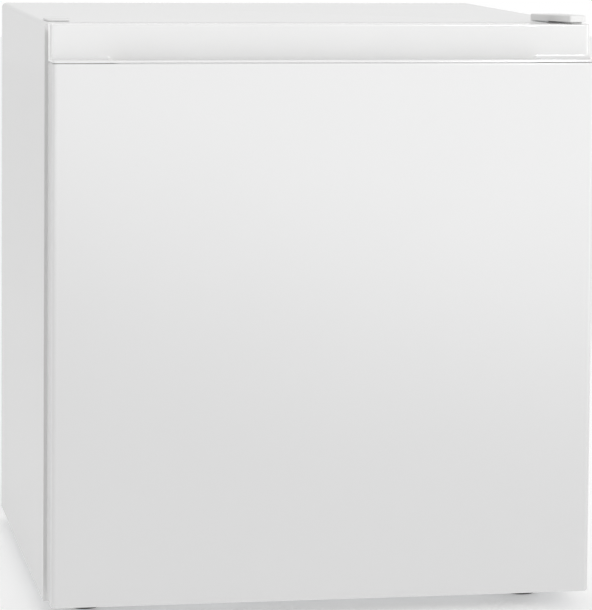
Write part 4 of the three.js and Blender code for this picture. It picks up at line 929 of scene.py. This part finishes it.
for number in range(1, 5):
    low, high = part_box(f"compressor_grommet_{number}")
    spot = (low + high) / 2
    tall = high.z - low.z
    profile = np.array([
        (3.4, 0), (9, 0), (10, 1), (10, 4.6), (9.2, 5.5), (6.2, 5.9), (6.2, 8.8), (8.2, 9.3), (9, 10.2),
        (8.4, tall / MM - 1), (7.2, tall / MM), (3.4, tall / MM),
    ]) * MM
    grommet = turned(f"rubber_bush_{number}", np.concatenate([profile, profile[:1]]), (spot.x, spot.y, low.z), sides=32)
    place(grommet, black_rubber, "black_rubber", "cabinet", f"compressor_grommet_{number}")

# %% [markdown]
# The pipe routes repeat the engineering model's own bends, measured from the boxes of its nodes.

# %% Pipes and filter
coil_low, coil_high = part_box("condenser")
coil_y = middle("filter_drier")[1]
suction_low, suction_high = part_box("suction_pipe")
discharge_low, discharge_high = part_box("discharge_pipe")
capillary_low, capillary_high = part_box("capillary_tube")
SUCTION = 3.2 * MM
DISCHARGE = 2.6 * MM
CAPILLARY = 1.1 * MM

suction_right = pot_centre.x - 30 * MM
suction_left = suction_low.x + SUCTION
suction_corners = [
    (suction_right, suction_low.y, suction_low.z + SUCTION), (suction_right, coil_y, suction_low.z + SUCTION),
    (suction_left, coil_y, suction_low.z + SUCTION), (suction_left, coil_y, suction_high.z - SUCTION),
    (suction_left, span("back_panel", 1)[1] + 0.3 * MM, suction_high.z - SUCTION),
]
place(tube("suction_line", suction_corners, SUCTION, 8 * MM), copper, "copper", "cabinet", "suction_pipe")

discharge_left = pot_centre.x + 30 * MM
discharge_right = discharge_high.x - DISCHARGE
discharge_level = discharge_low.z + DISCHARGE
discharge_corners = [
    (discharge_left, discharge_low.y, discharge_level), (discharge_left, coil_y, discharge_level),
    (discharge_right, coil_y, discharge_level), (discharge_right, coil_y, discharge_high.z),
]
place(tube("discharge_line", discharge_corners, DISCHARGE, 8 * MM), copper, "copper", "cabinet", "discharge_pipe")

capillary_right = capillary_high.x - CAPILLARY
capillary_left = capillary_low.x + CAPILLARY
capillary_corners = [
    (capillary_right, coil_y, middle("filter_drier")[2] - 33.3 * MM), (capillary_right, coil_y, capillary_low.z + CAPILLARY),
    (capillary_left, capillary_low.y + CAPILLARY, capillary_low.z + CAPILLARY),
    (capillary_left, capillary_low.y + CAPILLARY, capillary_high.z),
]
place(tube("capillary", capillary_corners, CAPILLARY, 6 * MM, 12), copper, "copper", "cabinet", "capillary_tube")

drier_low, drier_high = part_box("filter_drier")
drier_tall = drier_high.z - drier_low.z
drier_turn = quarter(7)
drier_profile = np.concatenate([
    [[0.01, 0], [1.8, 0], [1.8, 3]],
    np.stack([1.8 + 5.7 * np.sin(drier_turn), 3 + 7 * (1 - np.cos(drier_turn))], axis=1)[1:],
    np.stack([3 + 4.5 * np.cos(drier_turn), drier_tall / MM - 10 + 7 * np.sin(drier_turn)], axis=1),
    [[3, drier_tall / MM], [0.01, drier_tall / MM]],
]) * MM
drier_spot = (drier_low + drier_high) / 2
place(turned("filter_body", drier_profile, (drier_spot.x, drier_spot.y, drier_low.z)), copper, "copper", "cabinet", "filter_drier")

# %% Condenser coil
TUBE = 2.6 * MM
PITCH = 28 * MM
RUNS = 9
run_half = middle("condenser_stand_off_1")[0]
stand_left, stand_right = sorted({round(middle(f"condenser_stand_off_{i}")[0], 5) for i in range(1, 5)})
coil_top = middle("condenser_stand_off_1")[2]
WIRE_COUNT = 13
wire_pitch = (stand_right - stand_left) / (WIRE_COUNT - 2)
RUN_END = stand_right + wire_pitch / 2 + 16 * MM


def coil_corners():
    """Up the inlet side, then back and forth down the panel, and out to the filter."""
    inlet = coil_high.x - TUBE
    corners = [(inlet, coil_y, discharge_high.z + 0.3 * MM), (inlet, coil_y, coil_top)]
    for run in range(RUNS):
        level = coil_top - run * PITCH
        leftwards = run % 2 == 0
        if run:
            corners.append((RUN_END if leftwards else -RUN_END, coil_y, level))
        last = run == RUNS - 1
        corners.append((drier_spot.x if last else (-RUN_END if leftwards else RUN_END), coil_y, level))
    corners.append((drier_spot.x, coil_y, drier_high.z + 0.3 * MM))
    return corners


coil = tube("condenser_tube", coil_corners(), TUBE, PITCH / 2 - 0.5 * MM, 16)
place(coil, black_paint, "black_paint", "cabinet", "condenser")


def coil_wires():
    """Upright wires over both faces of the coil, as one mesh: a small circle at the ends of each."""
    across = np.linspace(-RUN_END + 16 * MM, RUN_END - 16 * MM, WIRE_COUNT)
    wire = 0.75 * MM
    face = np.array([-1, 1]) * (TUBE + wire * 0.6)
    ends = np.array([coil_top - (RUNS - 1) * PITCH - 8 * MM, coil_top + 8 * MM])
    angle = np.linspace(0, 2 * math.pi, 8, endpoint=False)
    x = across[:, None, None, None] + wire * np.cos(angle)
    y = coil_y + face[None, :, None, None] + wire * np.sin(angle)
    x, y, z = np.broadcast_arrays(x, y, ends[None, None, :, None])
    points = np.stack([x, y, z], axis=-1).reshape(-1, 3)
    count = WIRE_COUNT * 2
    ring = np.arange(8)
    start = (np.arange(count) * 16)[:, None]
    sides = np.stack([start + ring, start + (ring + 1) % 8, start + 8 + (ring + 1) % 8, start + 8 + ring], axis=-1)
    caps = np.concatenate([start + ring[::-1], start + 8 + ring])
    mesh = bpy.data.meshes.new("condenser_wires")
    mesh.from_pydata(points.tolist(), [], sides.reshape(-1, 4).tolist() + caps.tolist())
    piece = bpy.data.objects.new("condenser_wires", mesh)
    scene.collection.objects.link(piece)
    tidy(piece)
    return piece


place(coil_wires(), black_paint, "black_paint", "cabinet")

# %% [markdown]
# ## Feet and thermostat knob
#
# The front feet are ribbed plastic pads on a threaded stud, so that the fridge can be levelled; the
# back ones are plain rubber. The knob has a raised bar to grip and a ring of fine serrations.

# %% Feet
def front_foot(name, node):
    """A ribbed disc: the radius ripples with the angle between the two faces."""
    low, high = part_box(node)
    spot = (low + high) / 2
    profile = np.array([
        (0.01, 0), (12.4, 0), (13.4, 0.5), (15, 2.2), (15, 5.6), (14.2, 6.6), (9.4, 8), (9, 8.6), (9, 11.5),
        (4.1, 11.6), (4.1, 34), (0.01, 34),
    ]) * MM
    angle = np.linspace(0, 2 * math.pi, 96, endpoint=False)
    ribbed = ((profile[:, 1] > 1.5 * MM) & (profile[:, 1] < 6.2 * MM))[:, None]
    radius = profile[:, 0][:, None] - 0.45 * MM * ribbed * (1 + np.cos(24 * angle)) / 2
    grid = lay(radius * np.cos(angle), radius * np.sin(angle), profile[:, 1][:, None] + 0 * angle, "z")
    return surface(name, grid + np.array((spot.x, spot.y, low.z)))


for where in ("left", "right"):
    foot = front_foot(f"levelling_foot_{where}", f"front_foot_{where}")
    place(foot, black_plastic, "black_plastic", f"front_foot_{where}", f"front_foot_{where}")
    low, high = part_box(f"rear_foot_{where}")
    spot = (low + high) / 2
    tall = (high.z - low.z) / MM
    pad_profile = np.array([(0.01, 0), (11.2, 0), (12.2, 0.5), (13.2, 2), (14.4, tall - 3), (15, tall - 1), (15, tall), (0.01, tall)]) * MM
    pad = turned(f"rubber_foot_{where}", pad_profile, (spot.x, spot.y, low.z))
    place(pad, black_rubber, "black_rubber", "cabinet", f"rear_foot_{where}")


# %% Knob
def knob_dial():
    """A disc whose rim is finely serrated, with a domed face towards the front."""
    low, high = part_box("thermostat_knob")
    spot = (low + high) / 2
    radius = (high.x - low.x) / 2
    profile = np.array([(0.01, 0), (0.97, 0), (1.0, 0.6), (1.0, 4.0), (0.96, 4.8), (0.6, 5.3), (0.01, 5.5)])
    angle = np.linspace(0, 2 * math.pi, 144, endpoint=False)
    rim = (profile[:, 0] > 0.98)[:, None]
    reach = radius * profile[:, 0][:, None] - 0.35 * MM * rim * (1 + np.cos(48 * angle)) / 2
    grid = lay(reach * np.cos(angle), reach * np.sin(angle), -profile[:, 1][:, None] * MM + 0 * angle, "y")
    return surface("thermostat_dial", grid + np.array((spot.x, high.y, spot.z)))


place(knob_dial(), grip_plastic, "gloss_white", "thermostat_knob", "thermostat_knob")
knob_low, knob_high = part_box("thermostat_knob")
knob_x, knob_z = middle("thermostat_knob")[0], middle("thermostat_knob")[2]
knob_reach = (knob_high.x - knob_low.x) / 2 - 1.5 * MM
bar_plan = rounded([
    (knob_x - 4 * MM, knob_z - knob_reach, 3.5 * MM), (knob_x + 4 * MM, knob_z - knob_reach, 3.5 * MM),
    (knob_x + 3 * MM, knob_z + knob_reach, 2.5 * MM), (knob_x - 3 * MM, knob_z + knob_reach, 2.5 * MM),
])
place(moulding("thermostat_grip", bar_plan, "y", (knob_low.y, knob_high.y - 4 * MM), (1.6 * MM, 0.0)),
      grip_plastic, "gloss_white", "thermostat_knob")
pointer_plan = rounded([
    (knob_x - 0.8 * MM, knob_z + 4 * MM, 0.5 * MM), (knob_x + 0.8 * MM, knob_z + 4 * MM, 0.5 * MM),
    (knob_x + 0.8 * MM, knob_z + knob_reach - 2 * MM, 0.5 * MM), (knob_x - 0.8 * MM, knob_z + knob_reach - 2 * MM, 0.5 * MM),
])
place(moulding("thermostat_pointer", pointer_plan, "y", (knob_low.y - 0.15 * MM, knob_low.y + 1 * MM), (0.1 * MM, 0.0)),
      black_plastic, "black_plastic", "thermostat_knob")

# %% [markdown]
# ## The pieces that keep their engineering shape
#
# Sheet pans, liners and small mouldings already have their true form. Their meshes stay as they
# are; a node modifier welds the loose triangles and marks the hard corners, and a bevel gives
# most of them the small edge radius that a press or a mould leaves.

# %% Softened edges for the engineering nodes
HARD_ANGLE = math.radians(32)


def shading_group():
    """A node group that shades a welded mesh smooth but keeps its hard corners."""
    group = bpy.data.node_groups.new("shade_by_angle", "GeometryNodeTree")
    group.interface.new_socket("Geometry", in_out="INPUT", socket_type="NodeSocketGeometry")
    group.interface.new_socket("Geometry", in_out="OUTPUT", socket_type="NodeSocketGeometry")
    start = group.nodes.new("NodeGroupInput")
    end = group.nodes.new("NodeGroupOutput")
    weld = group.nodes.new("GeometryNodeMergeByDistance")
    weld.inputs["Distance"].default_value = 2e-6
    all_smooth = group.nodes.new("GeometryNodeSetShadeSmooth")
    sharp = group.nodes.new("GeometryNodeSetShadeSmooth")
    sharp.domain = "EDGE"
    sharp.inputs["Shade Smooth"].default_value = False
    angle = group.nodes.new("GeometryNodeInputMeshEdgeAngle")
    over = group.nodes.new("FunctionNodeCompare")
    over.operation = "GREATER_THAN"
    over.inputs["B"].default_value = HARD_ANGLE
    link = group.links.new
    link(start.outputs[0], weld.inputs["Geometry"])
    link(weld.outputs[0], all_smooth.inputs["Geometry"])
    link(all_smooth.outputs[0], sharp.inputs["Geometry"])
    link(angle.outputs["Unsigned Angle"], over.inputs["A"])
    link(over.outputs[0], sharp.inputs["Selection"])
    link(sharp.outputs[0], end.inputs[0])
    return group


shade_by_angle = shading_group()


def dress(node, material, edge):
    """Gives an engineering node its finish, and an edge radius if it has one."""
    piece = nodes[node]
    piece.data.materials.clear()
    piece.data.materials.append(material)
    smoother = piece.modifiers.new("shading", "NODES")
    smoother.node_group = shade_by_angle
    if edge:
        bevel = piece.modifiers.new("edge", "BEVEL")
        bevel.width = edge
        bevel.segments = 2
        bevel.limit_method = "ANGLE"
        bevel.angle_limit = HARD_ANGLE
        bevel.harden_normals = True


DRESSING = [
    (cabinet_paint, 0.35, ["outer_wrap"]),
    (zinc_sheet, 0.25, ["base_pan", "compressor_bay_panel", "back_panel", "compressor_plate"]),
    (bright_steel, 0.3, ["top_hinge_plate", "bottom_hinge_bracket"]),
    (bright_steel, 0.0, ["top_hinge_pin", "bottom_hinge_pin"]),
    (liner_plastic, 0.5, ["inner_liner", "door_liner"]),
    (foam, 0.0, ["insulation_foam", "door_foam"]),
    (part_plastic, 0.4, ["door_bottom_cap", "flap_frame", "ice_box_hanger", "tray_rail_left", "tray_rail_right",
                         "shelf_front_trim", "shelf_rear_trim", "thermostat_housing"]),
    (part_plastic, 0.0, ["door_bush_top", "door_bush_bottom"]),
    (clear_plastic, 0.5, ["lower_rack", "upper_rack", "freezer_flap", "drip_tray"]),
    (shelf_glass, 0.5, ["shelf_glass"]),
    (ice_box_metal, 0.4, ["ice_box"]),
    (copper, 0.0, ["thermostat_bulb"]),
    (black_plastic, 0.5, ["relay_cover", "cord_gland"] + [f"condenser_stand_off_{i}" for i in range(1, 5)]),
]
for material, edge, names in DRESSING:
    for name in names:
        dress(name, material, edge * MM)

hidden = [name for name, node in nodes.items() if node.hide_render]
print("engineering nodes kept:", len(nodes) - len(hidden), "replaced:", len(hidden))

# %% Finish
low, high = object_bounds()
